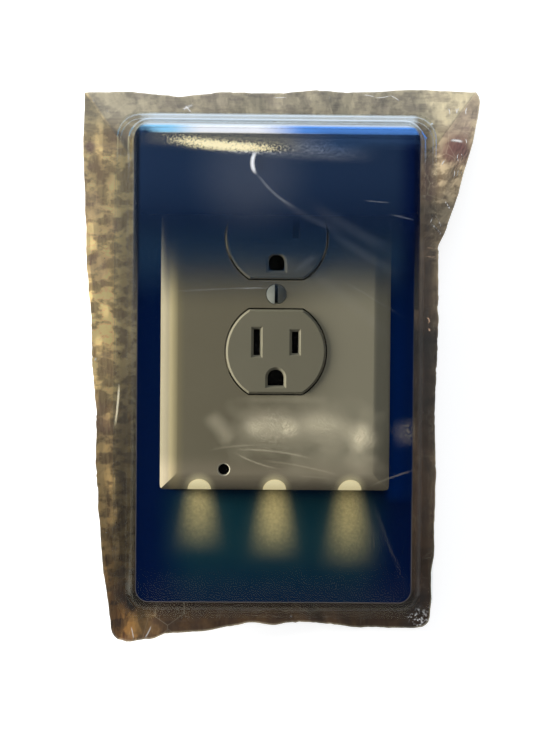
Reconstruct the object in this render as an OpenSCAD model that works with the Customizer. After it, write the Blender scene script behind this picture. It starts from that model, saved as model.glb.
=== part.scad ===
// Wall plate night light in a clear clamshell pack.
// The lamp is a duplex outlet cover with three downlights and a dusk sensor. Two sprung arms
// behind it take power from the side screws of the outlet that it covers.
// Frame: the pack lies on its back with the card's middle over the origin, +Z out of the plate's
// face, +Y towards the plate's top.

/* [Wall plate] */
// Width of the wall plate
plate_w = 77; // [74:0.5:80]
// Height of the plate above its centre screw
plate_above = 54.5; // [54:0.5:58]
// Height of the plate below its centre screw
plate_below = 65.5; // [64:0.5:67]
// Depth of the plate from its back to its face
plate_d = 8; // [7.6:0.1:9]
// Thickness of the plate's walls
plate_wall = 2; // [1.6:0.1:2.2]
// Radius of the plate's rounded edge, seen in section
plate_round = 6; // [5:0.1:6.5]
// Corner radius of the plate's outline
plate_corner = 1.8; // [1:0.1:2.5]

/* [Outlet openings] */
// Distance between the centres of the two outlets
outlet_pitch = 38.1; // [38:0.05:38.2]
// Radius of the round sides of an opening
opening_r = 17.05; // [16.9:0.05:17.3]
// Height of an opening between its flats
opening_h = 28.9; // [28.6:0.1:29.2]
// Gap between an opening and the outlet face in it
opening_gap = 0.45; // [0.3:0.05:0.6]
// Thickness of the rim behind each opening
rim_wall = 1.5; // [1.2:0.1:1.6]

/* [Centre screw] */
// Radius of the centre screw's shank
screw_r = 1.75; // [1.6:0.05:1.8]
// Radius of the centre screw's oval head
screw_head_r = 3.3; // [3:0.05:3.5]
// Length of the centre screw below the plate's face
screw_len = 16; // [12:0.5:19]
// Clearance round the centre screw
screw_gap = 0.25; // [0.2:0.05:0.35]
// Width of the screwdriver slot
screw_slot_w = 1.1; // [0.9:0.1:1.3]

/* [Downlights] */
// Distance of the outer downlights from the plate's sides
light_in = 13.3; // [13.1:0.1:14.5]
// Radius of the half-round window of a downlight
light_r = 4; // [3.6:0.1:4.3]
// Clearance round each lens
lens_gap = 0.12; // [0.1:0.01:0.2]

/* [Dusk sensor] */
// Distance of the sensor hole to the left of centre
sensor_x = 17; // [14:0.5:18]
// Height of the sensor hole above the plate's lower edge
sensor_up = 7.2; // [7:0.1:9]
// Radius of the sensor hole
sensor_r = 1.8; // [1.5:0.1:2]

/* [Circuit board] */
// Gap between the circuit board and the screw bosses beside it
board_gap = 0.9; // [0.6:0.1:1.5]
// Height of the circuit board
board_h = 22; // [20:0.5:22.5]
// Thickness of the circuit board
board_t = 1; // [0.8:0.1:1.2]

/* [Rear cover] */
// Thickness of the rear cover
cover_t = 1.4; // [1.2:0.1:1.6]
// Gap between the rear cover and the plate
cover_gap = 0.25; // [0.2:0.05:0.4]
// Radius of the shank of a cover screw
cover_screw_r = 0.95; // [0.8:0.05:1]

/* [Contact arms] */
// Length of a contact arm behind the plate
arm_reach = 24; // [20:0.5:28]
// Thickness of a contact arm
arm_t = 3; // [2.6:0.1:3.2]
// Width of a contact arm
arm_w = 12; // [10:0.5:13]
// Distance of an arm's centre from the middle of the plate
arm_x = 23; // [22.8:0.1:23.6]
// Distance of an arm's centre below the centre screw
arm_down = 13; // [11:0.5:15]
// Radius of the stub axles that an arm rocks on
axle_r = 1; // [0.8:0.05:1.1]
// Running clearance round a stub axle
axle_gap = 0.07; // [0.04:0.01:0.1]
// Thickness of the brass leaf on an arm
leaf_t = 0.4; // [0.3:0.05:0.5]
// How far the leaf bows out of its arm
leaf_bow = 4; // [3:0.1:4.2]

/* [Clamshell] */
// Thickness of the clear sheet
shell_t = 0.5; // [0.4:0.05:0.7]
// Width of the backing card
card_w = 93.4; // [92:0.2:98]
// Thickness of the backing card
card_t = 0.5; // [0.4:0.05:0.7]
// Margin of card above the plate
card_over = 1; // [0.6:0.1:4]
// Margin of card below the plate
card_under = 38.5; // [36:0.5:42]
// Corner radius of the card
card_corner = 4.5; // [3:0.5:6]
// Width of the flat flange along the dome's sides
flange_w = 4; // [3:0.5:6]
// Width of the flat flange at the dome's two ends
flange_end_w = 2.2; // [2:0.1:6]
// How much the dome's wall leans out from top to foot
dome_lean = 1.8; // [1:0.1:2.5]
// Radius of the dome's rounded edge
dome_round = 2.4; // [1.5:0.1:2.6]
// Width of the back pocket at its floor
pocket_w = 60; // [58:0.5:64]
// How much a pocket wall leans out from floor to mouth
pocket_lean = 3; // [2:0.5:4]
// Gap between the tips of the arms and the pocket's floor
tip_gap = 1.3; // [0.8:0.1:2]

/* [Film and bag] */
// Thickness of the header film inside the dome
film_t = 0.25; // [0.2:0.05:0.4]
// Height of the header film, from the dome's top edge down
film_h = 61; // [50:1:70]
// Thickness of the bag sheet under the pack
bag_t = 0.2; // [0.15:0.05:0.3]
// Height that the bag's cut edge rises to
bag_rise = 7; // [4:0.5:9]
// Depth of the folds in the bag's edge
bag_fold = 1.4; // [0.5:0.1:2]

/* [Hidden] */
$fn = 48;
eps = 0.01;
left = -1;
right = 1;

// Heights above the floor, from the bag upwards
pocket_floor = bag_t + shell_t;
wall_z = pocket_floor + tip_gap + arm_reach;
recess_d = 0.8;
ledge_z = wall_z - card_t;
flange_z = ledge_z + recess_d;
outlet_proud = 0.6;
head_gap = 0.8;
film_z = plate_d + outlet_proud + head_gap;
dome_in = wall_z + film_z + film_t;
dome_top = dome_in + shell_t;

// Places along Y: the card's middle is at zero, and the lamp is measured from its screw
card_h = card_over + plate_above + plate_below + card_under;
card_low = -card_h / 2;
card_high = card_low + card_h;
screw_y = card_high - card_over - plate_above;

// Inside of the plate
inner_x = plate_w / 2 - plate_wall;
inner_low = -plate_below + plate_wall;
inner_top = plate_d - plate_wall;
opening_flat = opening_h / 2;
rim_r = opening_r + rim_wall;
rim_flat = opening_flat + rim_wall;
lower_y = -outlet_pitch / 2;
bay_top = lower_y - rim_flat - 1.2;
leg_x = rim_r + 0.65;
leg_top = -3;

// Circuit board, lenses and what stands on the board
lens_tab_y = inner_low + 0.2;
lens_tab_t = 1.4;
lens_tab_h = 1.2;
lens_tab_side = 1;
lens_low_z = cover_t + 0.2;
board_low = lens_tab_y + lens_tab_t + 0.4;
board_z = cover_t + 0.5;
board_face = board_z + board_t;
led_w = 3.6;
led_d = 1.9;
led_h = 2;
light_pitch = plate_w / 2 - light_in;
light_xs = [-light_pitch, 0, light_pitch];
sensor_rim = 0.3;
sensor_y = -plate_below + sensor_up;
cell_r = 2.4;
cell_h = 1.7;
window_gap = 0.1;
window_seat = board_face + cell_h + 0.05;

// Cover screws: two by the lenses and two at the tops of the legs
boss_r = 2.3;
boss_edge = 3.2;
boss_x = inner_x - boss_r - boss_edge;
board_w = 2 * (boss_x - boss_r - board_gap);
boss_low_in = 5.2;
boss_high_in = 4.6;
boss_low_y = inner_low + boss_low_in;
boss_high_y = leg_top - boss_high_in;
boss_places = [[-boss_x, boss_low_y], [boss_x, boss_low_y], [-boss_x, boss_high_y], [boss_x, boss_high_y]];
head_r = cover_screw_r * 2;
head_h = cover_t / 2;
pilot_gap = 0.05;
pilot_end = 0.6;

// Board pegs on the rear cover, and rows of parts on the board below them
peg_r = 0.9;
peg_inset = 3;
peg_x = board_w / 2 - peg_inset;
peg_y = board_low + board_h - peg_inset;
peg_proud = 0.5;
peg_gap = 0.1;
row_pitch = 3.5;
chip_y = peg_y - row_pitch;
resistor_y = chip_y - 2 * row_pitch;
rectifier_x = 13;
driver_x = 1;
capacitor_x = -12;
fuse_x = 7;
chip_resistor_places = [[-4, 0], [-8, 0], [-4, -row_pitch], [18, 0]];

// Contact arms, and the heel by which each rests on the rear cover
axle_z = cover_t + 1.4;
ear_t = 1.5;
ear_gap = 0.25;
ear_half = arm_t / 2 + 0.7;
window_in = leaf_t + 0.4;
window_out = 0.8;
heel_l = window_out + 1.5;
heel_t = 1.2;
stake_r = 0.8;
stake_z = -2.5;

leaf_w = 7;
leaf_steps = 24;
wire_r = 0.6;

function lean_in(share) = share * share * (3 - 2 * share);

// ---- shapes that repeat ----

// Rectangle from y0 to y1 with round corners, centred on x
module round_rect(w, y0, y1, r) {
    translate([-w / 2 + r, y0])
        square([w - 2 * r, y1 - y0]);
    translate([-w / 2, y0 + r])
        square([w, y1 - y0 - 2 * r]);
    for (x = [-w / 2 + r, w / 2 - r], y = [y0 + r, y1 - r])
        translate([x, y])
            circle(r);
}

// Outline of one outlet: a circle cut by two flats
module outlet_outline(r, flat) {
    intersection() {
        circle(r);
        translate([-r - 1, -flat])
            square([2 * r + 2, 2 * flat]);
    }
}

// Section across a plate with rounded edges, low edge at a and high edge at b
module edge_section(a, b, top, r) {
    translate([a + r, -1])
        square([b - a - 2 * r, top + 1]);
    translate([a, -1])
        square([b - a, top - r + 1]);
    for (x = [a + r, b - r])
        translate([x, top - r])
            circle(r);
}

// The plate's outer form, or its hollow when inset by the wall
module pillow(inset) {
    half = plate_w / 2 - inset;
    low = -plate_below + inset;
    high = plate_above - inset;
    top = plate_d - inset;
    r = plate_round - inset;
    base = inset > 0 ? -1 : 0;
    intersection() {
        translate([0, 0, base])
            linear_extrude(height = top - base)
                round_rect(2 * half, low, high, max(plate_corner - inset, 0.6));
        translate([0, high + 1, 0])
            rotate([90, 0, 0])
                linear_extrude(height = high - low + 2)
                    edge_section(-half, half, top, r);
        translate([-half - 1, 0, 0])
            rotate([90, 0, 90])
                linear_extrude(height = 2 * half + 2)
                    edge_section(low, high, top, r);
    }
}

// Slab with round corners between two heights, a hull of thin discs that may taper
module taper(w0, h0, z0, w1, h1, z1, r0, r1) {
    hull() {
        for (x = [-1, 1], y = [-1, 1]) {
            translate([x * (w0 / 2 - r0), y * (h0 / 2 - r0), z0])
                cylinder(r = r0, h = eps, $fn = 32);
            translate([x * (w1 / 2 - r1), y * (h1 / 2 - r1), z1 - eps])
                cylinder(r = r1, h = eps, $fn = 32);
        }
    }
}

// Everything of the lamp is drawn from its screw, with the plate's back at zero
module in_lamp() {
    translate([0, screw_y, wall_z])
        children();
}

module mirrored(side) {
    mirror([side == left ? 1 : 0, 0, 0])
        children();
}

// ---- wall plate ----

module plate_holes() {
    for (y = [-outlet_pitch / 2, outlet_pitch / 2])
        translate([0, y, 0])
            linear_extrude(height = plate_d + 1)
                outlet_outline(opening_r, opening_flat);
    translate([0, 0, -1])
        cylinder(r = screw_r + screw_gap, h = plate_d + 2);
    translate([0, 0, plate_d - screw_head_r + screw_r])
        cylinder(r1 = screw_r + screw_gap, r2 = screw_head_r + screw_gap + eps,
                 h = screw_head_r - screw_r + eps);
    translate([-sensor_x, sensor_y, 0])
        cylinder(r = sensor_r, h = plate_d + 1);
    translate([-sensor_x, sensor_y, plate_d - sensor_rim])
        cylinder(r1 = sensor_r, r2 = sensor_r + sensor_rim + eps, h = sensor_rim + eps);
    for (x = light_xs)
        translate([x, -plate_below, lens_low_z - lens_gap])
            cylinder(r = light_r, h = plate_d);
}

// Pairs of ribs that keep each lens from being pushed in
module lens_ribs() {
    rib_t = 0.8;
    for (x = light_xs, side = [-1, 1])
        translate([x + side * (light_r + lens_tab_side - rib_t) - rib_t / 2,
                   lens_tab_y + lens_tab_t + lens_gap, lens_low_z + 0.2])
            cube([rib_t, board_low - lens_tab_y - lens_tab_t - 2 * lens_gap, inner_top - lens_low_z]);
}

module plate_ribs() {
    collar_wall = 2.4;
    stiffener_t = 1;
    stiffener_h = 1.2;
    stiffener_low = outlet_pitch / 2 + rim_flat + 2;
    lens_ribs();
    for (y = [-outlet_pitch / 2, outlet_pitch / 2])
        translate([0, y, 1])
            linear_extrude(height = inner_top)
                outlet_outline(rim_r, rim_flat);
    translate([0, 0, 1])
        cylinder(r = screw_r + collar_wall, h = inner_top);
    for (p = boss_places)
        translate([p[0], p[1], cover_t])
            cylinder(r = boss_r, h = inner_top - cover_t + eps);
    for (n = [-2:2])
        translate([n * inner_x / 3 - stiffener_t / 2, stiffener_low, inner_top - stiffener_h])
            cube([stiffener_t, plate_above - plate_round - stiffener_low, stiffener_h + eps]);
}

module face_plate() {
    color("#d3cfc2")
    in_lamp()
        difference() {
            union() {
                difference() {
                    pillow(0);
                    pillow(plate_wall);
                }
                plate_ribs();
            }
            plate_holes();
            for (p = boss_places)
                translate([p[0], p[1], 0])
                    cylinder(r = cover_screw_r + pilot_gap, h = inner_top - pilot_end);
        }
}

// ---- rear cover ----

module cover_outline() {
    edge = inner_x - cover_gap;
    translate([-edge, inner_low + cover_gap])
        square([2 * edge, bay_top - inner_low - cover_gap]);
    for (side = [left, right])
        translate([side > 0 ? leg_x : -edge, bay_top - eps])
            square([edge - leg_x, leg_top - bay_top + eps]);
}

// Two ears that carry the stub axles of one arm
module arm_ears() {
    for (end = [-1, 1])
        translate([arm_x, -arm_down + end * (arm_w / 2 + ear_gap + ear_t / 2), 0]) {
            translate([-ear_half, -ear_t / 2, cover_t - eps])
                cube([2 * ear_half, ear_t, axle_z - cover_t + eps]);
            translate([0, ear_t / 2, axle_z])
                rotate([90, 0, 0])
                    cylinder(r = ear_half, h = ear_t);
        }
}

module arm_ear_bores() {
    translate([arm_x, -arm_down + arm_w, axle_z])
        rotate([90, 0, 0])
            cylinder(r = axle_r + axle_gap, h = 2 * arm_w);
}

module rear_cover() {
    slot_l = arm_w + 2 * ear_gap;
    screw_fit = 0.15;
    groove_w = 1.5;
    groove_l = 10;
    groove_pitch = 4;
    groove_floor = 0.4;
    color("#c9c6ba")
    in_lamp()
        difference() {
            union() {
                linear_extrude(height = cover_t)
                    cover_outline();
                mirrored(left)
                    arm_ears();
                arm_ears();
                for (x = [-peg_x, peg_x])
                    translate([x, peg_y, cover_t - eps]) {
                        cylinder(r = 2 * peg_r, h = board_z - cover_t + eps);
                        cylinder(r = peg_r, h = board_face + peg_proud - cover_t + eps);
                    }
            }
            for (side = [left, right])
                mirrored(side) {
                    arm_ear_bores();
                    translate([arm_x - arm_t / 2 - window_in, -arm_down - slot_l / 2, -1])
                        cube([arm_t + window_in + window_out, slot_l, plate_d]);
                }
            for (p = boss_places)
                translate([p[0], p[1], 0]) {
                    translate([0, 0, -1])
                        cylinder(r = cover_screw_r + screw_fit, h = cover_t + 2);
                    translate([0, 0, -1])
                        cylinder(r = head_r + screw_fit, h = head_h + 1.05);
                }
            for (n = [-4.5:4.5])
                translate([n * groove_pitch - groove_w / 2, bay_top - 1.6 * groove_l, -1])
                    cube([groove_w, groove_l, cover_t - groove_floor]);
        }
}

module cover_screws() {
    recess_w = 0.4;
    recess_d = 0.35;
    recess_l = head_r * 1.2;
    color("#b8bcc0")
    in_lamp()
        for (p = boss_places)
            translate([p[0], p[1], 0])
                difference() {
                    union() {
                        cylinder(r = head_r, h = head_h);
                        cylinder(r = cover_screw_r, h = inner_top - 1);
                    }
                    for (turn = [0, 90])
                        rotate([0, 0, turn])
                            translate([-recess_l / 2, -recess_w / 2, -eps])
                                cube([recess_l, recess_w, recess_d]);
                }
}

// ---- circuit board and what it carries ----

module circuit_board() {
    color("#2c6b45")
    in_lamp()
        translate([0, 0, board_z])
            linear_extrude(height = board_t)
                difference() {
                    translate([-board_w / 2, board_low])
                        square([board_w, board_h]);
                    for (x = [-peg_x, peg_x])
                        translate([x, peg_y])
                            circle(peg_r + peg_gap);
                }
}

// Side-looking LED at the board's lower edge
module led(x) {
    cup = 0.5;
    cup_d = 0.3;
    color("#f4eed2")
    in_lamp()
        translate([x - led_w / 2, board_low + 0.1, board_face])
            difference() {
                cube([led_w, led_d, led_h]);
                translate([cup, -eps, cup])
                    cube([led_w - 2 * cup, cup_d, led_h - 2 * cup]);
            }
}

// Clear lens that fills a half-round window, with a tab that keeps it in
module light_lens(x) {
    tab_w = 2 * (light_r + lens_tab_side);
    color("#fff3c8", 0.9)
    in_lamp() {
        intersection() {
            pillow(0);
            translate([x, -plate_below, lens_low_z])
                cylinder(r = light_r - lens_gap, h = plate_d);
        }
        translate([x - tab_w / 2, lens_tab_y, lens_low_z])
            cube([tab_w, lens_tab_t, lens_tab_h]);
    }
}

// Photocell: a round wafer with the grooves of its folded track
module light_sensor() {
    groove_w = 0.24;
    groove_l = 2.8;
    groove_pitch = 0.8;
    groove_d = 0.2;
    color("#a3552c")
    in_lamp()
        translate([-sensor_x, sensor_y, board_face])
            difference() {
                cylinder(r = cell_r, h = cell_h);
                for (n = [-1.5:1.5])
                    translate([-groove_l / 2, n * groove_pitch - groove_w / 2, cell_h - groove_d])
                        cube([groove_l, groove_w, 1]);
            }
}

// Dark plug that fills the sensor hole from behind, with a collar that keeps it in
module sensor_window() {
    collar = 0.5;
    collar_h = 0.4;
    sunk = 1.1;
    color("#1c1c1e")
    in_lamp()
        translate([-sensor_x, sensor_y, window_seat]) {
            cylinder(r = sensor_r - window_gap, h = plate_d - sunk - window_seat);
            cylinder(r = sensor_r + collar, h = collar_h);
        }
}

// Black chip with legs on its two long sides
module chip(x, w, h, t, legs) {
    stand_off = 0.1;
    leg = [0.4, 0.8, 0.5];
    in_lamp()
        translate([x, chip_y, board_face]) {
            translate([-w / 2, -h / 2, stand_off])
                cube([w, h, t]);
            for (n = [0:legs - 1], side = [-1, 1])
                translate([-w / 2 + (n + 0.5) * w / legs - leg[0] / 2,
                           side > 0 ? h / 2 - eps : -h / 2 - leg[1] + eps, 0])
                    cube(leg);
        }
}

module bridge_rectifier() {
    color("#26272a")
        chip(x = rectifier_x, w = 4.8, h = 4, t = 1.9, legs = 2);
}

module driver_chip() {
    color("#1f2023")
        chip(x = driver_x, w = 5, h = 3.9, t = 1.5, legs = 4);
}

// Moulded capacitor with a terminal folded under each end
module storage_capacitor() {
    body = [6.4, 4.2, 2.2];
    terminal = [0.45, 2.4, 1.2];
    color("#d9a53a")
    in_lamp()
        translate([capacitor_x, chip_y, board_face]) {
            translate([-body[0] / 2, -body[1] / 2, 0])
                cube(body);
            translate([-body[0] / 2 - terminal[0], -terminal[1] / 2, 0])
                cube([body[0] + 2 * terminal[0], terminal[1], terminal[2]]);
        }
}

// Axial resistor that also serves as the fuse: a body, a cap at each end and a lead from each cap
module fuse_resistor() {
    cap_r = 1.1;
    cap_l = 1.2;
    body_r = cap_r - 0.15;
    body_l = 6.4;
    lead_r = 0.3;
    lead_l = 1.8;
    color("#7fa6b5")
    in_lamp()
        translate([fuse_x, resistor_y, board_face + cap_r])
            rotate([0, 90, 0]) {
                cylinder(r = body_r, h = body_l - cap_l, center = true);
                cylinder(r = lead_r, h = body_l + 2 * lead_l, center = true);
                for (side = [-1, 1])
                    translate([0, 0, side * (body_l - cap_l) / 2])
                        cylinder(r = cap_r, h = cap_l, center = true);
            }
}

module chip_resistors() {
    chip_l = 3.2;
    chip_h = 0.6;
    color("#3a3b40")
    in_lamp()
        for (p = chip_resistor_places)
            translate([p[0] - chip_l / 2, resistor_y + p[1] - chip_l / 4, board_face])
                cube([chip_l, chip_l / 2, chip_h]);
}

// ---- contact arms ----

// One arm: round at the axle, a straight blade and a lead-in chamfer at its tip
module arm_section() {
    chamfer = arm_t * 0.45;
    translate([0, axle_z])
        circle(arm_t / 2);
    polygon([
        [-arm_t / 2, axle_z], [arm_t / 2, axle_z], [arm_t / 2, -arm_reach],
        [-arm_t / 2 + chamfer, -arm_reach], [-arm_t / 2, -arm_reach + 2 * chamfer]
    ]);
}

module contact_arm(side) {
    rib_t = 1.2;
    color("#e4e1d6")
    in_lamp()
        mirrored(side) {
            translate([arm_x, -arm_down + arm_w / 2, 0])
                rotate([90, 0, 0])
                    linear_extrude(height = arm_w)
                        arm_section();
            translate([arm_x, -arm_down + arm_w / 2 + ear_gap + ear_t, axle_z])
                rotate([90, 0, 0])
                    cylinder(r = axle_r, h = arm_w + 2 * (ear_gap + ear_t));
            for (y = [-arm_w / 2, arm_w / 2 - rib_t])
                translate([arm_x + arm_t / 2 - eps, -arm_down + y, -arm_reach + 3])
                    cube([rib_t, rib_t, arm_reach - 5]);
            translate([arm_x, -arm_down - arm_w / 2, cover_t])
                cube([arm_t / 2 + heel_l, arm_w, heel_t]);
            translate([arm_x, -arm_down, stake_z])
                rotate([0, -90, 0])
                    cylinder(r = stake_r, h = arm_t / 2 + leaf_t + 0.3);
        }
}

// Centre line of the brass leaf: flat on the arm at both ends, bowed out between them
leaf_top = axle_z + 0.6;
leaf_bow_top = -5;
leaf_end = -arm_reach + 4;
function leaf_out(z) =
    z > leaf_bow_top || z < leaf_end ? 0
    : leaf_bow * pow(sin(180 * lean_in((leaf_bow_top - z) / (leaf_bow_top - leaf_end))), 1.2);
leaf_zs = concat([leaf_top], [for (n = [0:leaf_steps])
    leaf_bow_top + (leaf_end - leaf_bow_top) * n / leaf_steps]);

module leaf_section() {
    polygon(concat(
        [for (z = leaf_zs) [-leaf_out(z), z]],
        [for (n = [len(leaf_zs) - 1:-1:0]) [-leaf_out(leaf_zs[n]) - leaf_t, leaf_zs[n]]]
    ));
}

module contact_spring(side) {
    color("#c79a45")
    in_lamp()
        mirrored(side)
            difference() {
                translate([arm_x - arm_t / 2, -arm_down + leaf_w / 2, 0])
                    rotate([90, 0, 0])
                        linear_extrude(height = leaf_w)
                            leaf_section();
                translate([0, -arm_down, stake_z])
                    rotate([0, 90, 0])
                        cylinder(r = stake_r + 0.1, h = arm_x);
            }
}

// Insulated lead from beside the leaf's upper end down the leg, round its foot and to the board
module lead_wire(side) {
    z = board_face + wire_r;
    x = leg_x + wire_r + 0.25;
    start = 2;
    jog = 3;
    jog_from = 1;
    jog_to = 5;
    end = 8;
    points = [
        [x, -arm_down + start, z], [x, bay_top - jog_from, z],
        [x - jog, bay_top - jog_to, z], [x - jog, bay_top - end, z]
    ];
    color(side == left ? "#e9e7e0" : "#2d2d30")
    in_lamp()
        mirrored(side)
            for (n = [0:len(points) - 2]) {
                a = points[n];
                b = points[n + 1];
                run = b - a;
                translate(a)
                    rotate([0, 0, atan2(run[1], run[0])])
                        rotate([0, 90, 0])
                            cylinder(r = wire_r, h = norm(run));
                translate(b)
                    sphere(wire_r);
            }
}

// ---- centre screw ----

module plate_screw() {
    cone_h = screw_head_r - screw_r;
    crown = 0.55;
    tip = 0.8;
    slot_d = 0.7;
    color("#c4c1b6")
    in_lamp()
        difference() {
            union() {
                translate([0, 0, plate_d - screw_len])
                    cylinder(r = screw_r, h = screw_len - cone_h + eps);
                translate([0, 0, plate_d - screw_len - tip])
                    cylinder(r1 = screw_r - tip, r2 = screw_r, h = tip + eps);
                translate([0, 0, plate_d - cone_h])
                    cylinder(r1 = screw_r, r2 = screw_head_r, h = cone_h);
                translate([0, 0, plate_d - eps])
                    intersection() {
                        cylinder(r = screw_head_r, h = crown);
                        ball_r = (screw_head_r * screw_head_r + crown * crown) / (2 * crown);
                        translate([0, 0, crown - ball_r])
                            sphere(ball_r, $fn = 96);
                    }
            }
            translate([-screw_slot_w / 2, -screw_head_r - 1, plate_d - slot_d])
                cube([screw_slot_w, 2 * screw_head_r + 2, 3]);
        }
}

// ---- outlet former: thin moulded dummy outlet that fills the plate's openings in the pack ----

former_t = 1;
former_r = opening_r - opening_gap;
former_flat = opening_flat - opening_gap;
former_top = plate_d + outlet_proud;
former_edge = 0.7;
tray_drop = 3;
tray_top = 0.8;
tray_arm_gap = 1.7;
tray_half = arm_x - arm_t / 2 - leaf_bow - leaf_t - tray_arm_gap;
tray_end = outlet_pitch / 2 + rim_flat + 1;
leg_r = 3;
leg_draft = 0.6;
leg_places = [for (x = [-1, 1], y = [-1, 1])
    [x * (tray_half - leg_r - 2), y * (tray_end - leg_r - 2)]];

// Blade slots and ground hole, measured from the middle of an outlet face
slot_x = 6.35;
slot_y = 3.1;
slot_w = 2.1;
neutral_l = 8.6;
hot_l = 7.1;
ground_y = -8.6;
ground_r = 2.65;
hole_deep = 5;
hole_mouth = 0.85;
bevel_deep = 0.7;

// Outlet face with a bevelled edge, or the hollow behind it when inset
module outlet_face(inset) {
    r = former_r - inset;
    flat = former_flat - inset;
    top = former_top - inset;
    edge = max(former_edge - inset, 0.1);
    intersection() {
        union() {
            cylinder(r = r, h = top - edge);
            translate([0, 0, top - edge - eps])
                cylinder(r1 = r, r2 = r - edge, h = edge + eps);
        }
        rotate([90, 0, 90])
            translate([0, 0, -r - 1])
                linear_extrude(height = 2 * r + 2)
                    polygon([
                        [-flat, -eps], [flat, -eps], [flat, top - edge], [flat - edge, top],
                        [-flat + edge, top], [-flat, top - edge]
                    ]);
    }
}

// Cup round a blade slot, or the slot itself with its bevelled mouth
module blade_slot(side, l, wall) {
    w = slot_w + 2 * wall;
    h = l + 2 * wall;
    translate([side * slot_x, slot_y, former_top]) {
        translate([-w / 2, -h / 2, -hole_deep - wall])
            cube([w, h, hole_deep + (wall > 0 ? 0 : 1)]);
        if (wall == 0)
            hull() {
                translate([-w / 2, -h / 2, -bevel_deep])
                    cube([w, h, eps]);
                translate([-w / 2 - hole_mouth, -h / 2 - hole_mouth, 0])
                    cube([w + 2 * hole_mouth, h + 2 * hole_mouth, eps]);
            }
    }
}

module ground_outline(r) {
    circle(r, $fn = 32);
    translate([-r, -r])
        square([2 * r, r]);
}

// Cup round a ground hole, or the hole itself with its bevelled mouth
module ground_hole(wall) {
    translate([0, ground_y, former_top]) {
        translate([0, 0, -hole_deep - wall])
            linear_extrude(height = hole_deep + (wall > 0 ? 0 : 1))
                ground_outline(ground_r + wall);
        if (wall == 0)
            hull() {
                translate([0, 0, -bevel_deep])
                    linear_extrude(height = eps)
                        ground_outline(ground_r);
                linear_extrude(height = eps)
                    ground_outline(ground_r + hole_mouth);
            }
    }
}

module outlet_cups(wall) {
    for (y = [-outlet_pitch / 2, outlet_pitch / 2])
        translate([0, y, 0]) {
            blade_slot(left, neutral_l, wall);
            blade_slot(right, hot_l, wall);
            ground_hole(wall);
        }
}

module former_leg(inset) {
    foot = pocket_floor - wall_z + inset;
    translate([0, 0, foot])
        cylinder(r1 = leg_r - leg_draft - inset, r2 = leg_r - inset, h = tray_top - former_t - foot + eps);
}

module outlet_former() {
    collar_r = screw_r + screw_gap + former_t;
    color("#cfcabb")
    in_lamp()
        difference() {
            union() {
                difference() {
                    union() {
                        for (y = [-outlet_pitch / 2, outlet_pitch / 2])
                            translate([0, y, 0])
                                outlet_face(0);
                        translate([-tray_half, -tray_end, -tray_drop])
                            cube([2 * tray_half, 2 * tray_end, tray_drop + tray_top]);
                    }
                    for (y = [-outlet_pitch / 2, outlet_pitch / 2])
                        translate([0, y, 0]) {
                            outlet_face(former_t);
                            translate([0, 0, -tray_drop])
                                linear_extrude(height = tray_drop)
                                    intersection() {
                                        outlet_outline(former_r - former_t, former_flat - former_t);
                                        square([2 * (tray_half - former_t), 2 * former_r], center = true);
                                    }
                        }
                    translate([-tray_half + former_t, -tray_end + former_t, -tray_drop - 1])
                        cube([2 * (tray_half - former_t), 2 * (tray_end - former_t),
                              tray_drop + 1 + tray_top - former_t]);
                }
                outlet_cups(former_t);
                for (p = leg_places)
                    translate([p[0], p[1], 0])
                        former_leg(0);
                translate([0, 0, -tray_drop])
                    cylinder(r = collar_r, h = tray_drop + tray_top);
            }
            outlet_cups(0);
            for (p = leg_places)
                translate([p[0], p[1], 0])
                    former_leg(former_t);
            translate([0, 0, -tray_drop - 1])
                cylinder(r = screw_r + screw_gap, h = plate_d);
        }
}

// ---- card, film and clamshell ----

window_w = 54;
window_h = 2 * (tray_end + 2);
window_r = 3;

module backing_card() {
    color("#0b2350")
    translate([0, 0, ledge_z])
        linear_extrude(height = card_t)
            difference() {
                round_rect(card_w, card_low, card_high, card_corner);
                translate([0, screw_y])
                    round_rect(window_w, -window_h / 2, window_h / 2, window_r);
            }
}

dome_inset = 0.8;
dome_edge = min(dome_round, (card_corner + dome_inset) / 2);
film_gap = 0.05;
film_low = card_high + dome_inset - film_h;

// The dome, drawn once for its outside and once, with no sheet, for its inside.
// A ring at each upper corner rounds the edges of its face.
module dome(sheet, foot) {
    w = card_w + 2 * dome_inset + 2 * sheet;
    h = card_h + 2 * dome_inset + 2 * sheet;
    r = card_corner + dome_inset + sheet;
    foot_r = r + dome_lean;
    edge = dome_edge + sheet;
    hull()
        for (x = [-1, 1], y = [-1, 1]) {
            translate([x * (w / 2 + dome_lean - foot_r), y * (h / 2 + dome_lean - foot_r), foot])
                cylinder(r = foot_r, h = eps, $fn = 32);
            translate([x * (w / 2 - r), y * (h / 2 - r), dome_in - dome_edge])
                rotate_extrude($fn = 32)
                    translate([r - edge, 0])
                        intersection() {
                            circle(edge, $fn = 24);
                            square(2 * edge);
                        }
        }
}

// Printed film that lines the upper end of the dome and follows its rounded edges
module header_film() {
    color("#1b2e4d", 0.9)
    intersection() {
        difference() {
            dome(-film_gap, flange_z);
            dome(-film_gap - film_t, flange_z - eps);
        }
        translate([-card_w, film_low, dome_in - dome_edge])
            cube([2 * card_w, 2 * film_h, 2 * dome_edge]);
    }
}

foot_out = dome_inset + shell_t + dome_lean;
flange_out_w = card_w + 2 * (foot_out + flange_w);
flange_low = card_low - foot_out - flange_end_w;
flange_high = card_high + foot_out + flange_end_w;
bead_r = 0.5;
bead_l = 130;
bead_gap = 0.1;
hinge_x = -flange_out_w / 2 - bead_r - bead_gap / 2;

module flange(z) {
    translate([0, 0, z])
        linear_extrude(height = shell_t)
            round_rect(flange_out_w, flange_low, flange_high, card_corner + foot_out);
}

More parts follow.
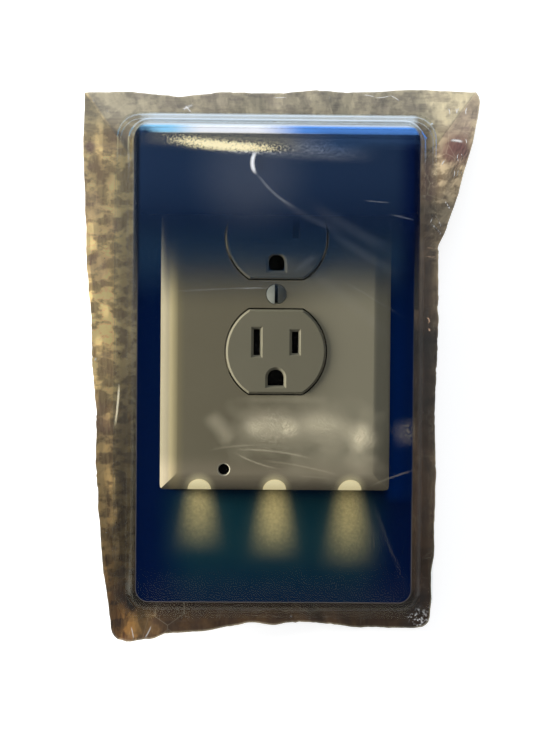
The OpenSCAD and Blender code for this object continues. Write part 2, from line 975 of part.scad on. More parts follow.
module front_shell() {
    color("#dfe9f2", 0.3)
    difference() {
        union() {
            flange(flange_z);
            dome(shell_t, flange_z);
            hinge_bead(bead_r);
        }
        dome(0, flange_z - eps);
    }
}

pocket_h = 120;
pocket_r = 7;
pocket_edge = 2;

// The pocket, drawn once for its outside and once, with no sheet, for its inside
module pocket(sheet, floor_z, mouth_z) {
    w = pocket_w + 2 * sheet;
    h = pocket_h + 2 * sheet;
    r = pocket_r + sheet;
    low_z = floor_z + pocket_edge;
    taper(w - 2 * pocket_edge, h - 2 * pocket_edge, floor_z, w, h, low_z, r - pocket_edge, r);
    taper(w, h, low_z - eps, w + 2 * pocket_lean, h + 2 * pocket_lean, mouth_z, r, r + pocket_lean);
}

module back_shell() {
    recess_gap = 0.3;
    color("#dfe9f2", 0.3)
    difference() {
        union() {
            flange(flange_z - shell_t);
            translate([0, 0, ledge_z - shell_t])
                linear_extrude(height = flange_z - ledge_z + shell_t)
                    round_rect(card_w + 2 * (recess_gap + shell_t), card_low - recess_gap - shell_t,
                               card_high + recess_gap + shell_t, card_corner + recess_gap + shell_t);
            pocket(shell_t, bag_t, ledge_z);
            hinge_bead(-bead_r);
        }
        translate([0, 0, ledge_z])
            linear_extrude(height = recess_d + 1)
                round_rect(card_w + 2 * recess_gap, card_low - recess_gap,
                           card_high + recess_gap, card_corner + recess_gap);
        pocket(0, pocket_floor, ledge_z + eps);
    }
}

// One of the two beads of the folded hinge, along the left edges of the flanges
module hinge_bead(rise) {
    translate([-flange_out_w / 2, -bead_l / 2, flange_z + rise])
        rotate([-90, 0, 0])
            cylinder(r = bead_r, h = bead_l);
}

// ---- bag sheet ----

// Outline of the cut-open bag under the pack, clockwise from its upper left corner:
// each point is a share of the flange's half width and half height, and a distance from there
bag_points = [
    [-1, 1, -13, 9.5], [-0.65, 1, 0, 8.5], [0, 1, 0, 10], [0.5, 1, 0, 10.5], [1, 1, 16.5, 11],
    [1, 1, 17, 4], [1, 0.8, 12, 0], [1, 0.6, 7, 0], [1, 0.5, 3.5, 0], [1, -0.2, 3, 0],
    [1, -0.7, 3, 0], [1, -0.85, 2, 0], [1, -1, 1.5, -4], [0.95, -1, 0, -7], [0.2, -1, 0, -5],
    [-0.15, -1, 0, -5.5], [-0.7, -1, 0, -9.5], [-0.85, -1, 0, -11.5], [-1, -1, -1, -11.5],
    [-1, -1, -3, -4.5], [-1, -0.6, -7.5, 0], [-1, -0.2, -8.5, 0], [-1, 0.2, -10.5, 0],
    [-1, 0.6, -12.5, 0]
];

// The sheet lies flat under the pocket. From there it rises in rings to its cut edge, and folds that
// run outwards pass through the corners of the outline and the points halfway between them, where
// the edge bows out a little.
bag_stand = 0.68;
bag_bow = 1.01;
bag_rings = 3;
bag_count = 2 * len(bag_points);
bag_side = (bag_rings + 1) * bag_count;

function bag_corner(n) =
    let (p = bag_points[n % len(bag_points)])
    [p[0] * flange_out_w / 2 + p[2], p[1] * (flange_high - flange_low) / 2 + p[3]];
function bag_edge(n) =
    (bag_corner(floor(n / 2)) + bag_corner(ceil(n / 2))) / 2 * (n % 2 == 0 ? 1 : bag_bow);
function bag_lift(n, out) = bag_rise * lean_in(out) + (n % 2 == 0 ? -1 : 1) * bag_fold * out;
function bag_point(n, ring, z) =
    let (out = ring / bag_rings, p = bag_edge(n) * (bag_stand + (1 - bag_stand) * out))
    [p[0], p[1], bag_lift(n, out) + z];
function bag_index(n, ring) = ring * bag_count + n % bag_count;

module bag_sheet() {
    last = bag_side - bag_count;
    upper = [for (ring = [1:bag_rings], n = [0:bag_count - 1]) each [
        [bag_index(n, ring - 1), bag_index(n, ring), bag_index(n + 1, ring)],
        [bag_index(n, ring - 1), bag_index(n + 1, ring), bag_index(n + 1, ring - 1)]
    ]];
    color("#e8ecef", 0.4)
    polyhedron(
        points = [for (z = [bag_t, 0], ring = [0:bag_rings], n = [0:bag_count - 1]) bag_point(n, ring, z)],
        faces = concat(
            [[for (n = [0:bag_count - 1]) n]],
            [[for (n = [bag_count - 1:-1:0]) n + bag_side]],
            upper,
            [for (f = upper) [f[2] + bag_side, f[1] + bag_side, f[0] + bag_side]],
            [for (n = [0:bag_count - 1])
                [last + n, last + bag_side + n, last + bag_side + (n + 1) % bag_count,
                 last + (n + 1) % bag_count]]
        )
    );
}

face_plate();
rear_cover();
circuit_board();
led(light_xs[0]);  // led_left
led(light_xs[1]);  // led_centre
led(light_xs[2]);  // led_right
light_lens(light_xs[0]);  // light_lens_left
light_lens(light_xs[1]);  // light_lens_centre
light_lens(light_xs[2]);  // light_lens_right
light_sensor();
sensor_window();
bridge_rectifier();
driver_chip();
storage_capacitor();
fuse_resistor();
chip_resistors();
contact_arm(left);  // contact_arm_left
contact_arm(right);  // contact_arm_right
contact_spring(left);  // contact_spring_left
contact_spring(right);  // contact_spring_right
lead_wire(left);  // lead_wire_left
lead_wire(right);  // lead_wire_right
cover_screws();
plate_screw();
outlet_former();
backing_card();
header_film();
front_shell();
back_shell();
bag_sheet();
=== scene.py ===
# %% [markdown]
# # A wall plate night light in its clear clamshell pack
# The lamp is a duplex outlet cover with three downlights along its lower edge. It lies on a dark blue
# card inside a clear clamshell, and the clamshell lies on an opened clear bag. The solids come from the
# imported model, so they are true to size already. What is left to make is how each piece looks, the
# crumpled bag, the lamps and the camera.

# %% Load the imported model
import math
import random

import bmesh
import bpy
from mathutils import Matrix, Vector, noise
from mathutils.bvhtree import BVHTree


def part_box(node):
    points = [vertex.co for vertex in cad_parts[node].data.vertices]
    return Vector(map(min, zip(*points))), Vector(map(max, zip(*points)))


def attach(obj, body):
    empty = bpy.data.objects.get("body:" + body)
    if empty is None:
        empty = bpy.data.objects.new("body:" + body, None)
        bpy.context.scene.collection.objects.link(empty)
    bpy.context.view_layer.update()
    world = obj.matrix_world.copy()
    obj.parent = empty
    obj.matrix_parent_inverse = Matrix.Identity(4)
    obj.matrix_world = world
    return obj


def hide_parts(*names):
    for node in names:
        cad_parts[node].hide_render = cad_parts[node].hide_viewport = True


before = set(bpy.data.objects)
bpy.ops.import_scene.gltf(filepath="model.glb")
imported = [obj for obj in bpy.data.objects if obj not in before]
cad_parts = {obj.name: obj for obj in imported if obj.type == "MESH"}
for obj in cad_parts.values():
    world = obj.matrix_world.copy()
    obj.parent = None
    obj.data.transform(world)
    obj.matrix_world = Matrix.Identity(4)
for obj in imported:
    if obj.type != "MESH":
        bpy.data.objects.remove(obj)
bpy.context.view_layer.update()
MM = 0.001
print("nodes:", len(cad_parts))

# %% [markdown]
# ## Colours and a base material
# Colours are easiest to choose as they look on a screen, from 0 to 255, but Blender mixes light in
# linear values, so one helper turns the first into the second. A moulded or printed surface is never one
# flat colour: it has a faint mottle, and its gloss changes a little from place to place. So every
# finish starts from one helper that mixes two near tones by noise, varies the roughness by a second
# noise and adds a fine bump.

# %% Colour helper
def tone(r, g, b, a=1.0):
    def linear(c):
        c /= 255
        return c / 12.92 if c <= 0.04045 else ((c + 0.055) / 1.055) ** 2.4
    return (linear(r), linear(g), linear(b), a)


# %% Node helpers
def new_material(name):
    mat = bpy.data.materials.new(name)
    mat.use_nodes = True
    tree = mat.node_tree
    tree.nodes.clear()
    return mat, tree, tree.nodes.new("ShaderNodeOutputMaterial")


def noise_at(tree, coords, scale, detail=4.0):
    n = tree.nodes.new("ShaderNodeTexNoise")
    n.inputs["Scale"].default_value = scale
    n.inputs["Detail"].default_value = detail
    tree.links.new(coords, n.inputs["Vector"])
    return n.outputs["Fac"]


def stretched(tree, coords, scale):
    mapping = tree.nodes.new("ShaderNodeMapping")
    mapping.inputs["Scale"].default_value = scale
    tree.links.new(coords, mapping.inputs["Vector"])
    return mapping.outputs["Vector"]


def ramp(tree, value, low, high, out_low=0.0, out_high=1.0, smooth=False):
    m = tree.nodes.new("ShaderNodeMapRange")
    if smooth:
        m.interpolation_type = "SMOOTHSTEP"
    m.inputs["From Min"].default_value = low
    m.inputs["From Max"].default_value = high
    m.inputs["To Min"].default_value = out_low
    m.inputs["To Max"].default_value = out_high
    tree.links.new(value, m.inputs["Value"])
    return m.outputs["Result"]


def mix_colour(tree, share, a, b, kind="MIX"):
    m = tree.nodes.new("ShaderNodeMix")
    m.data_type = "RGBA"
    m.blend_type = kind
    for socket, value in ((m.inputs[0], share), (m.inputs[6], a), (m.inputs[7], b)):
        if hasattr(value, "links"):
            tree.links.new(value, socket)
        else:
            socket.default_value = value
    return m.outputs[2]


def maths(tree, kind, *values, clamp=False):
    m = tree.nodes.new("ShaderNodeMath")
    m.operation = kind
    m.use_clamp = clamp
    for socket, value in zip(m.inputs, values):
        if hasattr(value, "links"):
            tree.links.new(value, socket)
        else:
            socket.default_value = value
    return m.outputs[0]


def place_xyz(tree):
    coords = tree.nodes.new("ShaderNodeTexCoord").outputs["Object"]
    split = tree.nodes.new("ShaderNodeSeparateXYZ")
    tree.links.new(coords, split.inputs[0])
    return coords, split.outputs["X"], split.outputs["Y"], split.outputs["Z"]


def product(tree, *values):
    total = values[0]
    for value in values[1:]:
        total = maths(tree, "MULTIPLY", total, value)
    return total


def distance_from(tree, x, y, centre):
    dx = maths(tree, "SUBTRACT", x, centre[0])
    dy = maths(tree, "SUBTRACT", y, centre[1])
    square = maths(tree, "ADD", product(tree, dx, dx), product(tree, dy, dy))
    return maths(tree, "SQRT", square)


# %% Distance from a rounded outline
def outline_distance(tree, x, y, half_w, half_h, corner):
    over = [maths(tree, "SUBTRACT", maths(tree, "ABSOLUTE", way), half - corner)
            for way, half in ((x, half_w), (y, half_h))]
    out = [maths(tree, "MAXIMUM", value, 0.0) for value in over]
    square = maths(tree, "ADD", product(tree, out[0], out[0]), product(tree, out[1], out[1]))
    inside = maths(tree, "MINIMUM", maths(tree, "MAXIMUM", *over), 0.0)
    total = maths(tree, "ADD", maths(tree, "SQRT", square), inside)
    return maths(tree, "SUBTRACT", total, corner)


def thin_line(tree, value, at, half):
    off = maths(tree, "ABSOLUTE", maths(tree, "SUBTRACT", value, at))
    return ramp(tree, off, 0.0, half, 1.0, 0.0, smooth=True)


# %% Base finish
def finish(name, light, dark, rough=0.4, spread=0.08, grain=900.0, mottle=60.0, bump=0.05,
           depth=0.0001, metal=0.0, coat=0.0, specular=0.5):
    mat, tree, out = new_material(name)
    shader = tree.nodes.new("ShaderNodeBsdfPrincipled")
    shader.inputs["Metallic"].default_value = metal
    shader.inputs["Coat Weight"].default_value = coat
    shader.inputs["Specular IOR Level"].default_value = specular
    coords = tree.nodes.new("ShaderNodeTexCoord").outputs["Object"]
    broad = noise_at(tree, coords, mottle)
    fine = noise_at(tree, coords, grain, 2.0)
    colour = mix_colour(tree, broad, dark, light)
    tree.links.new(colour, shader.inputs["Base Color"])
    tree.links.new(ramp(tree, broad, 0.3, 0.7, rough - spread, rough + spread),
                   shader.inputs["Roughness"])
    b = tree.nodes.new("ShaderNodeBump")
    b.inputs["Strength"].default_value = bump
    b.inputs["Distance"].default_value = depth
    tree.links.new(fine, b.inputs["Height"])
    tree.links.new(b.outputs["Normal"], shader.inputs["Normal"])
    tree.links.new(shader.outputs["BSDF"], out.inputs["Surface"])
    return mat


def parts_of(mat):
    tree = mat.node_tree
    shader = next(n for n in tree.nodes if n.type == "BSDF_PRINCIPLED")
    return tree, shader, shader.inputs["Base Color"].links[0].from_socket


def output_of(tree):
    return next(n for n in tree.nodes if n.type == "OUTPUT_MATERIAL")


def node_object(node):
    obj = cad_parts[node]
    return obj if hasattr(obj, "data") else bpy.data.objects[node]


def dress(mat, *node_names):
    for node in node_names:
        obj = node_object(node)
        obj.data.materials.clear()
        obj.data.materials.append(mat)
    print(mat.name, "->", ", ".join(node_names))


# %% [markdown]
# ## The wall plate
# The plate is injection-moulded in a warm grey-ivory plastic with a satin face. Each lit downlight
# spills a warm halo on the face round it, which is painted light, and the small chamfer of the sensor
# hole has a paler ring, a painted highlight. Both follow from the distance to a point, so they are rules
# in the material. The face is also lighter towards the right and a strip of its left bevel brighter,
# both painted light.
# The gaps round the two outlet faces are half a millimetre wide and light gets lost in them. A render
# shows them too pale, since light bounces about in a clean model, so the walls of a gap turn dark below
# the face.

# %% Places on the plate
screw_low, screw_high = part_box("plate_screw")
screw_y = (screw_low[1] + screw_high[1]) / 2
gap_depth, slot_depth, holes_end = 1.2 * MM, 1.8 * MM, 7 * MM
plate_low, plate_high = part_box("face_plate")
former_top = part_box("outlet_former")[1][2]
outlet_pitch = 38.1 * MM
outlet_r = 17.3 * MM
outlet_centres = [(0.0, screw_y - outlet_pitch / 2), (0.0, screw_y + outlet_pitch / 2)]
lens_boxes = [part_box(f"light_lens_{side}") for side in ("left", "centre", "right")]
light_xs = [(low[0] + high[0]) / 2 for low, high in lens_boxes]
sensor_low, sensor_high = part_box("sensor_window")
sensor_at = ((sensor_low[0] + sensor_high[0]) / 2, (sensor_low[1] + sensor_high[1]) / 2)
print("plate", [round((b - a) / MM, 1) for a, b in zip(plate_low, plate_high)], "mm")
print("downlights at x =", [round(x / MM, 1) for x in light_xs], "mm")


# %% Dark gaps and slots
def in_outlets(tree, x, y, radius):
    share = None
    for centre in outlet_centres:
        near = ramp(tree, distance_from(tree, x, y, centre), radius, radius + 0.2 * MM, 1.0, 0.0)
        share = near if share is None else maths(tree, "MAXIMUM", share, near)
    return share


def shade_gaps(mat, top, depth, radius, low):
    tree, shader, base = parts_of(mat)
    x, y, z = place_xyz(tree)[1:]
    sunk = ramp(tree, z, top - depth, top - depth / 3, 1.0, 0.0, smooth=True)
    above = ramp(tree, z, low, low + 0.5 * MM)
    dark = product(tree, sunk, above, in_outlets(tree, x, y, radius))
    tree.links.new(mix_colour(tree, dark, base, tone(2, 1, 1)), shader.inputs["Base Color"])
    return mat


# %% Plate finish
def plate_finish():
    mat = finish("ivory_satin", tone(104, 97, 81), tone(98, 91, 75), rough=0.42, spread=0.05,
                 grain=1500, mottle=45, bump=0.08, depth=0.00006, specular=0.03)
    tree, shader, base = parts_of(mat)
    x, y = place_xyz(tree)[1:3]
    # painted light: the face is made lighter towards the right and higher up
    right = ramp(tree, x, -6 * MM, 25 * MM, smooth=True)
    low = ramp(tree, y, plate_low[1] + 4 * MM, plate_low[1] + 26 * MM, 0.35, 1.0, smooth=True)
    warm = mix_colour(tree, product(tree, right, low), base, tone(128, 121, 103))
    # the face is also made paler a little above its lower edge
    foot = ramp(tree, y, plate_low[1] + 13 * MM, plate_low[1] + 6 * MM, 0.0, 0.8, smooth=True)
    warm = mix_colour(tree, foot, warm, tone(120, 110, 93))
    halo = None
    for lx in light_xs:
        reach = distance_from(tree, x, y, (lx, plate_low[1] + 0.4 * MM))
        near = ramp(tree, reach, 2.2 * MM, 6.4 * MM, 1.0, 0.0, smooth=True)
        halo = near if halo is None else maths(tree, "MAXIMUM", halo, near)
    colour = mix_colour(tree, maths(tree, "MULTIPLY", halo, 0.6), warm, tone(240, 224, 178))
    # painted highlight: a pale ring on the chamfer of the sensor hole
    rim = distance_from(tree, x, y, sensor_at)
    ring = ramp(tree, rim, 2.1 * MM, 2.3 * MM, 0.5, 0.0)
    colour = mix_colour(tree, ring, colour, tone(180, 173, 154))
    # painted light: a strip on the left bevel is brightened, where the low key lamp falls on it
    lit_left_bevel = product(tree, ramp(tree, x, -36.0 * MM, -34.6 * MM, smooth=True),
                   ramp(tree, x, -33.4 * MM, -29.5 * MM, 1.0, 0.0, smooth=True))
    colour = mix_colour(tree, lit_left_bevel, colour, (1.4, 1.36, 1.16, 1), kind="MULTIPLY")
    tree.links.new(colour, shader.inputs["Base Color"])
    return mat


dress(shade_gaps(plate_finish(), plate_high[2], gap_depth, outlet_r, plate_high[2] - holes_end),
      "face_plate")

# %% [markdown]
# ## The outlet former and the screw
# The two outlet faces in the plate's openings are one plain moulded insert, a shade darker than the
# plate. The same rule as above turns its slots and its rim dark below the face. The screw's head is
# painted to match, and worn to bare metal in places, which a part-metallic finish shows. Its right half
# and the inside of its slot are darker: painted shade.

# %% Former and screw finishes
former = finish("former_satin", tone(112, 106, 90), tone(104, 99, 84), rough=0.45, grain=1200,
                bump=0.06, specular=0.03)
dress(shade_gaps(former, former_top, slot_depth, outlet_r, former_top - holes_end), "outlet_former")


def screw_finish():
    mat = finish("painted_screw", tone(152, 152, 142), tone(84, 84, 78), rough=0.4, mottle=220,
                 metal=0.1, bump=0.08, grain=2500, specular=0.1)
    tree, shader, base = parts_of(mat)
    x, _, z = place_xyz(tree)[1:]
    # painted shade: the inside of the slot is darkened
    slot = ramp(tree, z, screw_high[2] - 1.2 * MM, screw_high[2] - 0.6 * MM, 1.0, 0.0)
    across = ramp(tree, maths(tree, "ABSOLUTE", x), 0.5 * MM, 0.6 * MM, 1.0, 0.0)
    dark = product(tree, slot, across)
    # painted shade: the head's right half, across the slot, is darker
    shaded_half = ramp(tree, x, -0.4 * MM, 0.6 * MM, 0.0, 0.9)
    base = mix_colour(tree, shaded_half, base, tone(78, 76, 68))
    tree.links.new(mix_colour(tree, dark, base, tone(4, 4, 3)), shader.inputs["Base Color"])
    return mat


dress(screw_finish(), "plate_screw")

# %% [markdown]
# ## The downlights and the dusk sensor
# A lit lens is bright in the middle and falls off towards its rim. Emission alone would look like
# paper, so the lens keeps a glossy Principled surface and only adds emission to it. The sensor window
# is a dark tinted plug deep in its hole.

# %% Lens and sensor finishes
def lens_finish():
    mat = finish("lit_lens", tone(214, 202, 164), tone(204, 190, 150), rough=0.22, mottle=300, bump=0.02,
                 specular=0.3)
    shader = parts_of(mat)[1]
    shader.inputs["Emission Color"].default_value = tone(255, 236, 182)
    shader.inputs["Emission Strength"].default_value = 0.38
    return mat


dress(lens_finish(), "light_lens_left", "light_lens_centre", "light_lens_right")
dress(finish("dark_tint", tone(10, 9, 8), tone(5, 5, 5), rough=0.5, specular=0.02, bump=0.01),
      "sensor_window")

# %% [markdown]
# ## Behind the plate
# The rear cover, arms and springs show from behind through the clear pocket. The cover and arms are
# matte plastic, the springs are rolled brass strip with a stretched grain, and the cover screws are
# zinc-plated steel.

# %% Finishes of the rear pieces
def rolled_metal(name, light, dark, rough, stretch=(8.0, 900.0, 8.0)):
    mat = finish(name, light, dark, rough=rough, metal=1.0, bump=0.06, grain=400)
    tree, shader = parts_of(mat)[:2]
    coords = tree.nodes.new("ShaderNodeTexCoord").outputs["Object"]
    streak = noise_at(tree, stretched(tree, coords, stretch), 4.0, 6.0)
    tree.links.new(ramp(tree, streak, 0.3, 0.7, rough - 0.1, rough + 0.12), shader.inputs["Roughness"])
    tree.links.new(mix_colour(tree, streak, dark, light), shader.inputs["Base Color"])
    return mat


dress(finish("cover_matte", tone(186, 180, 164), tone(174, 168, 152), rough=0.6, bump=0.15, grain=1800),
      "rear_cover")
dress(finish("arm_matte", tone(222, 216, 200), tone(208, 202, 186), rough=0.55, bump=0.12, grain=1600),
      "contact_arm_left", "contact_arm_right")
dress(rolled_metal("spring_brass", tone(226, 190, 112), tone(190, 148, 76), 0.32),
      "contact_spring_left", "contact_spring_right")
dress(rolled_metal("zinc_steel", tone(200, 202, 206), tone(160, 164, 170), 0.35,
                   (300.0, 300.0, 300.0)), "cover_screws")

# %% [markdown]
# ## The electronics
# The board is green with paler copper tracks under the solder mask. A brick pattern with thin mortar
# gives straight tracks at right angles, and the mottle breaks them up. The parts on it get small
# finishes of their own.

# %% Board finish
def board_finish():
    mat = finish("solder_mask", tone(38, 104, 62), tone(28, 86, 50), rough=0.35, coat=0.3)
    tree, shader, base = parts_of(mat)
    coords = tree.nodes.new("ShaderNodeTexCoord").outputs["Object"]
    brick = tree.nodes.new("ShaderNodeTexBrick")
    brick.inputs["Scale"].default_value = 160.0
    brick.inputs["Mortar Size"].default_value = 0.035
    brick.inputs["Brick Width"].default_value = 1.3
    tree.links.new(coords, brick.inputs["Vector"])
    tracks = mix_colour(tree, brick.outputs["Fac"], base, tone(70, 140, 84))
    tree.links.new(tracks, shader.inputs["Base Color"])
    return mat


dress(board_finish(), "circuit_board")

# %% Small parts on the board
for name, pale, deep, rough, where in (
    ("led_package", (250, 240, 196), (240, 224, 170), 0.3, ("led_left", "led_centre", "led_right")),
    ("photocell_track", (176, 84, 44), (140, 60, 30), 0.4, ("light_sensor",)),
    ("chip_mould", (42, 42, 45), (28, 28, 31), 0.5, ("bridge_rectifier", "driver_chip")),
    ("resistor_film", (52, 52, 56), (34, 34, 38), 0.35, ("chip_resistors",)),
    ("capacitor_mould", (216, 164, 60), (196, 142, 44), 0.45, ("storage_capacitor",)),
    ("resistor_lacquer", (130, 168, 184), (108, 148, 166), 0.35, ("fuse_resistor",)),
    ("wire_pale", (228, 226, 218), (210, 208, 198), 0.45, ("lead_wire_left",)),
    ("wire_dark", (44, 44, 47), (30, 30, 33), 0.45, ("lead_wire_right",)),
):
    dress(finish(name, tone(*pale), tone(*deep), rough=rough, mottle=400, grain=3000), *where)

# %% [markdown]
# ## The card
# The card is printed board, deep blue at the sides. Painted light makes it a little greener and lighter
# where light spreads under the plate, and lays three soft pools of light below the downlights in the
# card's print. Each pool is worked out from the distance below the plate and the distance from its own
# middle line: it starts narrow and bright, widens and fades. A maker could also paint them on an image,
# but a rule in the material stays sharp at any size.

# %% Card finish
card_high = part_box("backing_card")[1]


def card_finish():
    mat = finish("printed_card", tone(3, 17, 51), tone(1, 13, 44), rough=0.5, spread=0.06, mottle=25,
                 grain=700, bump=0.06, specular=0.01)
    tree, shader, base = parts_of(mat)
    coords, x, y = place_xyz(tree)[:3]
    below = maths(tree, "SUBTRACT", plate_low[1], y)
    # painted light: the strip right of the plate is lightened where the plate's shadow falls
    lit_strip_right = product(tree, ramp(tree, x, 37 * MM, 39 * MM),
                     ramp(tree, x, 41 * MM, 45 * MM, 1.0, 0.6),
                     ramp(tree, y, -46 * MM, -41 * MM))
    base = mix_colour(tree, lit_strip_right, base, tone(2, 38, 96))
    # a wide teal glow under the whole plate
    rise = ramp(tree, below, -3 * MM, 5 * MM, smooth=True)
    fall = ramp(tree, below, 16 * MM, 44 * MM, 1.0, 0.15, smooth=True)
    across = maths(tree, "ABSOLUTE", x)
    side = ramp(tree, across, 25 * MM, 42 * MM, 1.0, 0.0, smooth=True)
    glow = product(tree, rise, fall, side, 0.9)
    colour = mix_colour(tree, glow, base, tone(14, 44, 52))
    # three warm pools, each in a wider and weaker one
    grain = ramp(tree, noise_at(tree, coords, 1100.0, 2.0), 0.3, 0.7, 0.72, 1.0)
    for half_top, half_low, reach, strength, paint in (
        (8.6, 17.0, 36.0, 0.85, tone(68, 79, 67)),
        (6.2, 11.6, 31.0, 1.0, tone(186, 168, 118)),
    ):
        width = ramp(tree, below, 0.0, 26 * MM, half_top * MM, half_low * MM)
        pools = None
        for lx, own, longer in zip(light_xs, (0.70, 1.08, 0.95), (0.76, 0.84, 0.94)):
            off = maths(tree, "ABSOLUTE", maths(tree, "SUBTRACT", x, lx))
            soft = ramp(tree, maths(tree, "DIVIDE", off, width), 0.0, 1.05, own, 0.0, smooth=True)
            end = ramp(tree, below, 4 * MM, reach * longer * MM, 1.0, 0.0, smooth=True)
            soft = product(tree, soft, end)
            pools = soft if pools is None else maths(tree, "MAXIMUM", pools, soft)
        start = ramp(tree, below, -1 * MM, 4 * MM, 0.7, 1.0, smooth=True)
        pool = product(tree, pools, start, grain, strength)
        colour = mix_colour(tree, pool, colour, paint)
    # the paper core shows as a thin pale line where the card was cut
    edge = outline_distance(tree, x, y, card_high[0], card_high[1], 4.5 * MM)
    cut = ramp(tree, edge, -0.40 * MM, -0.15 * MM, 0.0, 0.5)
    colour = mix_colour(tree, cut, colour, tone(112, 104, 96))
    tree.links.new(colour, shader.inputs["Base Color"])
    return mat


dress(card_finish(), "backing_card")

# %% [markdown]
# ## The header film
# A printed film lines the top of the dome: solid navy at the upper end, fading to clear where the plate
# comes out from under it. The fade is a mix of the printed finish and a Transparent shader, led by the
# height. Ink dots leave the dark holes under them darker than they cover the pale plate, so the mix is
# let down over the upper outlet's ground hole, one of its slots and the gap round its face.

# %% Film finish
fade_low, fade_high = 19.0 * MM, 56.5 * MM
upper_x, upper_y = outlet_centres[1]
face_r, face_half_h = 16.85 * MM, 14.25 * MM
ground_down, ground_half, ground_corner = 8.6 * MM, 2.6 * MM, 1.6 * MM
slot_beside, slot_up, slot_half_w, slot_half_h = 6.35 * MM, 3.1 * MM, 1.1 * MM, 3.6 * MM


def over_holes(tree, x, y):
    reach = distance_from(tree, x, y, (upper_x, upper_y))
    height = maths(tree, "ABSOLUTE", maths(tree, "SUBTRACT", y, upper_y))
    rim = maths(tree, "MAXIMUM", maths(tree, "SUBTRACT", reach, face_r),
                maths(tree, "SUBTRACT", height, face_half_h))
    gap = product(tree, thin_line(tree, rim, 0.0, 0.8 * MM),
                  ramp(tree, y, 49 * MM, 43 * MM, smooth=True))
    hole = outline_distance(tree, x, maths(tree, "SUBTRACT", y, upper_y - ground_down),
                            ground_half, ground_half, ground_corner)
    inside = ramp(tree, hole, -0.1 * MM, 0.3 * MM, 1.0, 0.0)
    slot = outline_distance(tree, maths(tree, "SUBTRACT", x, slot_beside),
                            maths(tree, "SUBTRACT", y, upper_y + slot_up),
                            slot_half_w, slot_half_h, 0.2 * MM)
    slot = product(tree, ramp(tree, slot, 0.0, 0.3 * MM, 0.4, 0.0), ramp(tree, y, 50 * MM, 46 * MM))
    return maths(tree, "MAXIMUM", maths(tree, "MAXIMUM", gap, inside), slot)


def film_finish():
    mat = finish("navy_film", tone(31, 47, 74), tone(27, 43, 70), rough=0.4, spread=0.05, mottle=18,
                 grain=300, bump=0.02, specular=0.02)
    tree, shader, base = parts_of(mat)
    out = output_of(tree)
    x, y = place_xyz(tree)[1:3]
    deep = ramp(tree, y, 66 * MM, 44 * MM, smooth=True)
    colour = mix_colour(tree, deep, base, tone(18, 33, 58))
    thin_ink = ramp(tree, y, 50 * MM, 34 * MM, smooth=True)
    colour = mix_colour(tree, thin_ink, colour, tone(30, 53, 77))
    side = ramp(tree, x, 38 * MM, 45 * MM, smooth=True)
    colour = mix_colour(tree, side, colour, tone(4, 18, 54))
    # painted shade: the film's rounded left edge is darkened, where the low key lamp falls on it
    rounded = ramp(tree, x, -44.6 * MM, -46.0 * MM, smooth=True)
    colour = mix_colour(tree, rounded, colour, tone(7, 12, 22))
    tree.links.new(colour, shader.inputs["Base Color"])
    # light passes both faces on its way in and again on its way out, so each face needs only a part of
    # the ink, and the fade runs further up than it seems to
    solid = product(tree, ramp(tree, y, fade_low, fade_high, smooth=True),
                    maths(tree, "SUBTRACT", 1.0, over_holes(tree, x, y)))
    clear = tree.nodes.new("ShaderNodeBsdfTransparent")
    both = tree.nodes.new("ShaderNodeMixShader")
    tree.links.new(solid, both.inputs[0])
    tree.links.new(clear.outputs[0], both.inputs[1])
    tree.links.new(shader.outputs[0], both.inputs[2])
    tree.links.new(both.outputs[0], out.inputs["Surface"])
    return mat


dress(film_finish(), "header_film")

# %% [markdown]
# ## Clear sheet
# Clamshell sheet is thin, clear and glossy. A glass shader on a half-millimetre wall would darken all
# that lies inside, because lamps don't pass through it. A cheaper and clearer way is to mix a
# Transparent shader with a mirror and say how much of the mirror shows: next to nothing where the sheet
# faces the eye, a lot where it turns away, as Fresnel's law has it. A slow noise bends the reflections
# as drawn sheet does. Seen along its walls the pocket of the back half is looked through lengthwise, so
# its tint deepens there.

# %% Clear sheet finish
def clear_sheet(name, tint, face=0.0005, edge=0.16, power=3.0, rough=0.10, wave=18.0, wave_depth=0.0001):
    mat, tree, out = new_material(name)
    coords = tree.nodes.new("ShaderNodeTexCoord").outputs["Object"]
    b = tree.nodes.new("ShaderNodeBump")
    b.inputs["Strength"].default_value = 0.3
    b.inputs["Distance"].default_value = wave_depth
    tree.links.new(noise_at(tree, coords, wave, 3.0), b.inputs["Height"])
    clear = tree.nodes.new("ShaderNodeBsdfTransparent")
    clear.inputs["Color"].default_value = tint
    shine = tree.nodes.new("ShaderNodeBsdfPrincipled")
    shine.inputs["Base Color"].default_value = (0.93, 0.95, 0.97, 1)
    shine.inputs["Metallic"].default_value = 1.0
    shine.inputs["Roughness"].default_value = rough
    tree.links.new(b.outputs["Normal"], shine.inputs["Normal"])
    layer = tree.nodes.new("ShaderNodeLayerWeight")
    layer.inputs["Blend"].default_value = 0.5
    turned = maths(tree, "POWER", layer.outputs["Facing"], power)
    share = maths(tree, "MULTIPLY_ADD", turned, edge, face)
    mix = tree.nodes.new("ShaderNodeMixShader")
    tree.links.new(share, mix.inputs[0])
    tree.links.new(clear.outputs[0], mix.inputs[1])
    tree.links.new(shine.outputs[0], mix.inputs[2])
    tree.links.new(mix.outputs[0], out.inputs["Surface"])
    return mat, {"share": share, "mix": mix, "clear": clear, "shine": shine}


def back_finish():
    tint, deep_tint = (0.97, 0.98, 0.98, 1), (0.66, 0.72, 0.76, 1)
    mat, sheet = clear_sheet("clear_shell_back", tint)
    tree = mat.node_tree
    layer = tree.nodes.new("ShaderNodeLayerWeight")
    layer.inputs["Blend"].default_value = 0.5
    deeper = maths(tree, "POWER", layer.outputs["Facing"], 2.0)
    tree.links.new(mix_colour(tree, deeper, tint, deep_tint), sheet["clear"].inputs["Color"])
    return mat


dress(back_finish(), "back_shell")
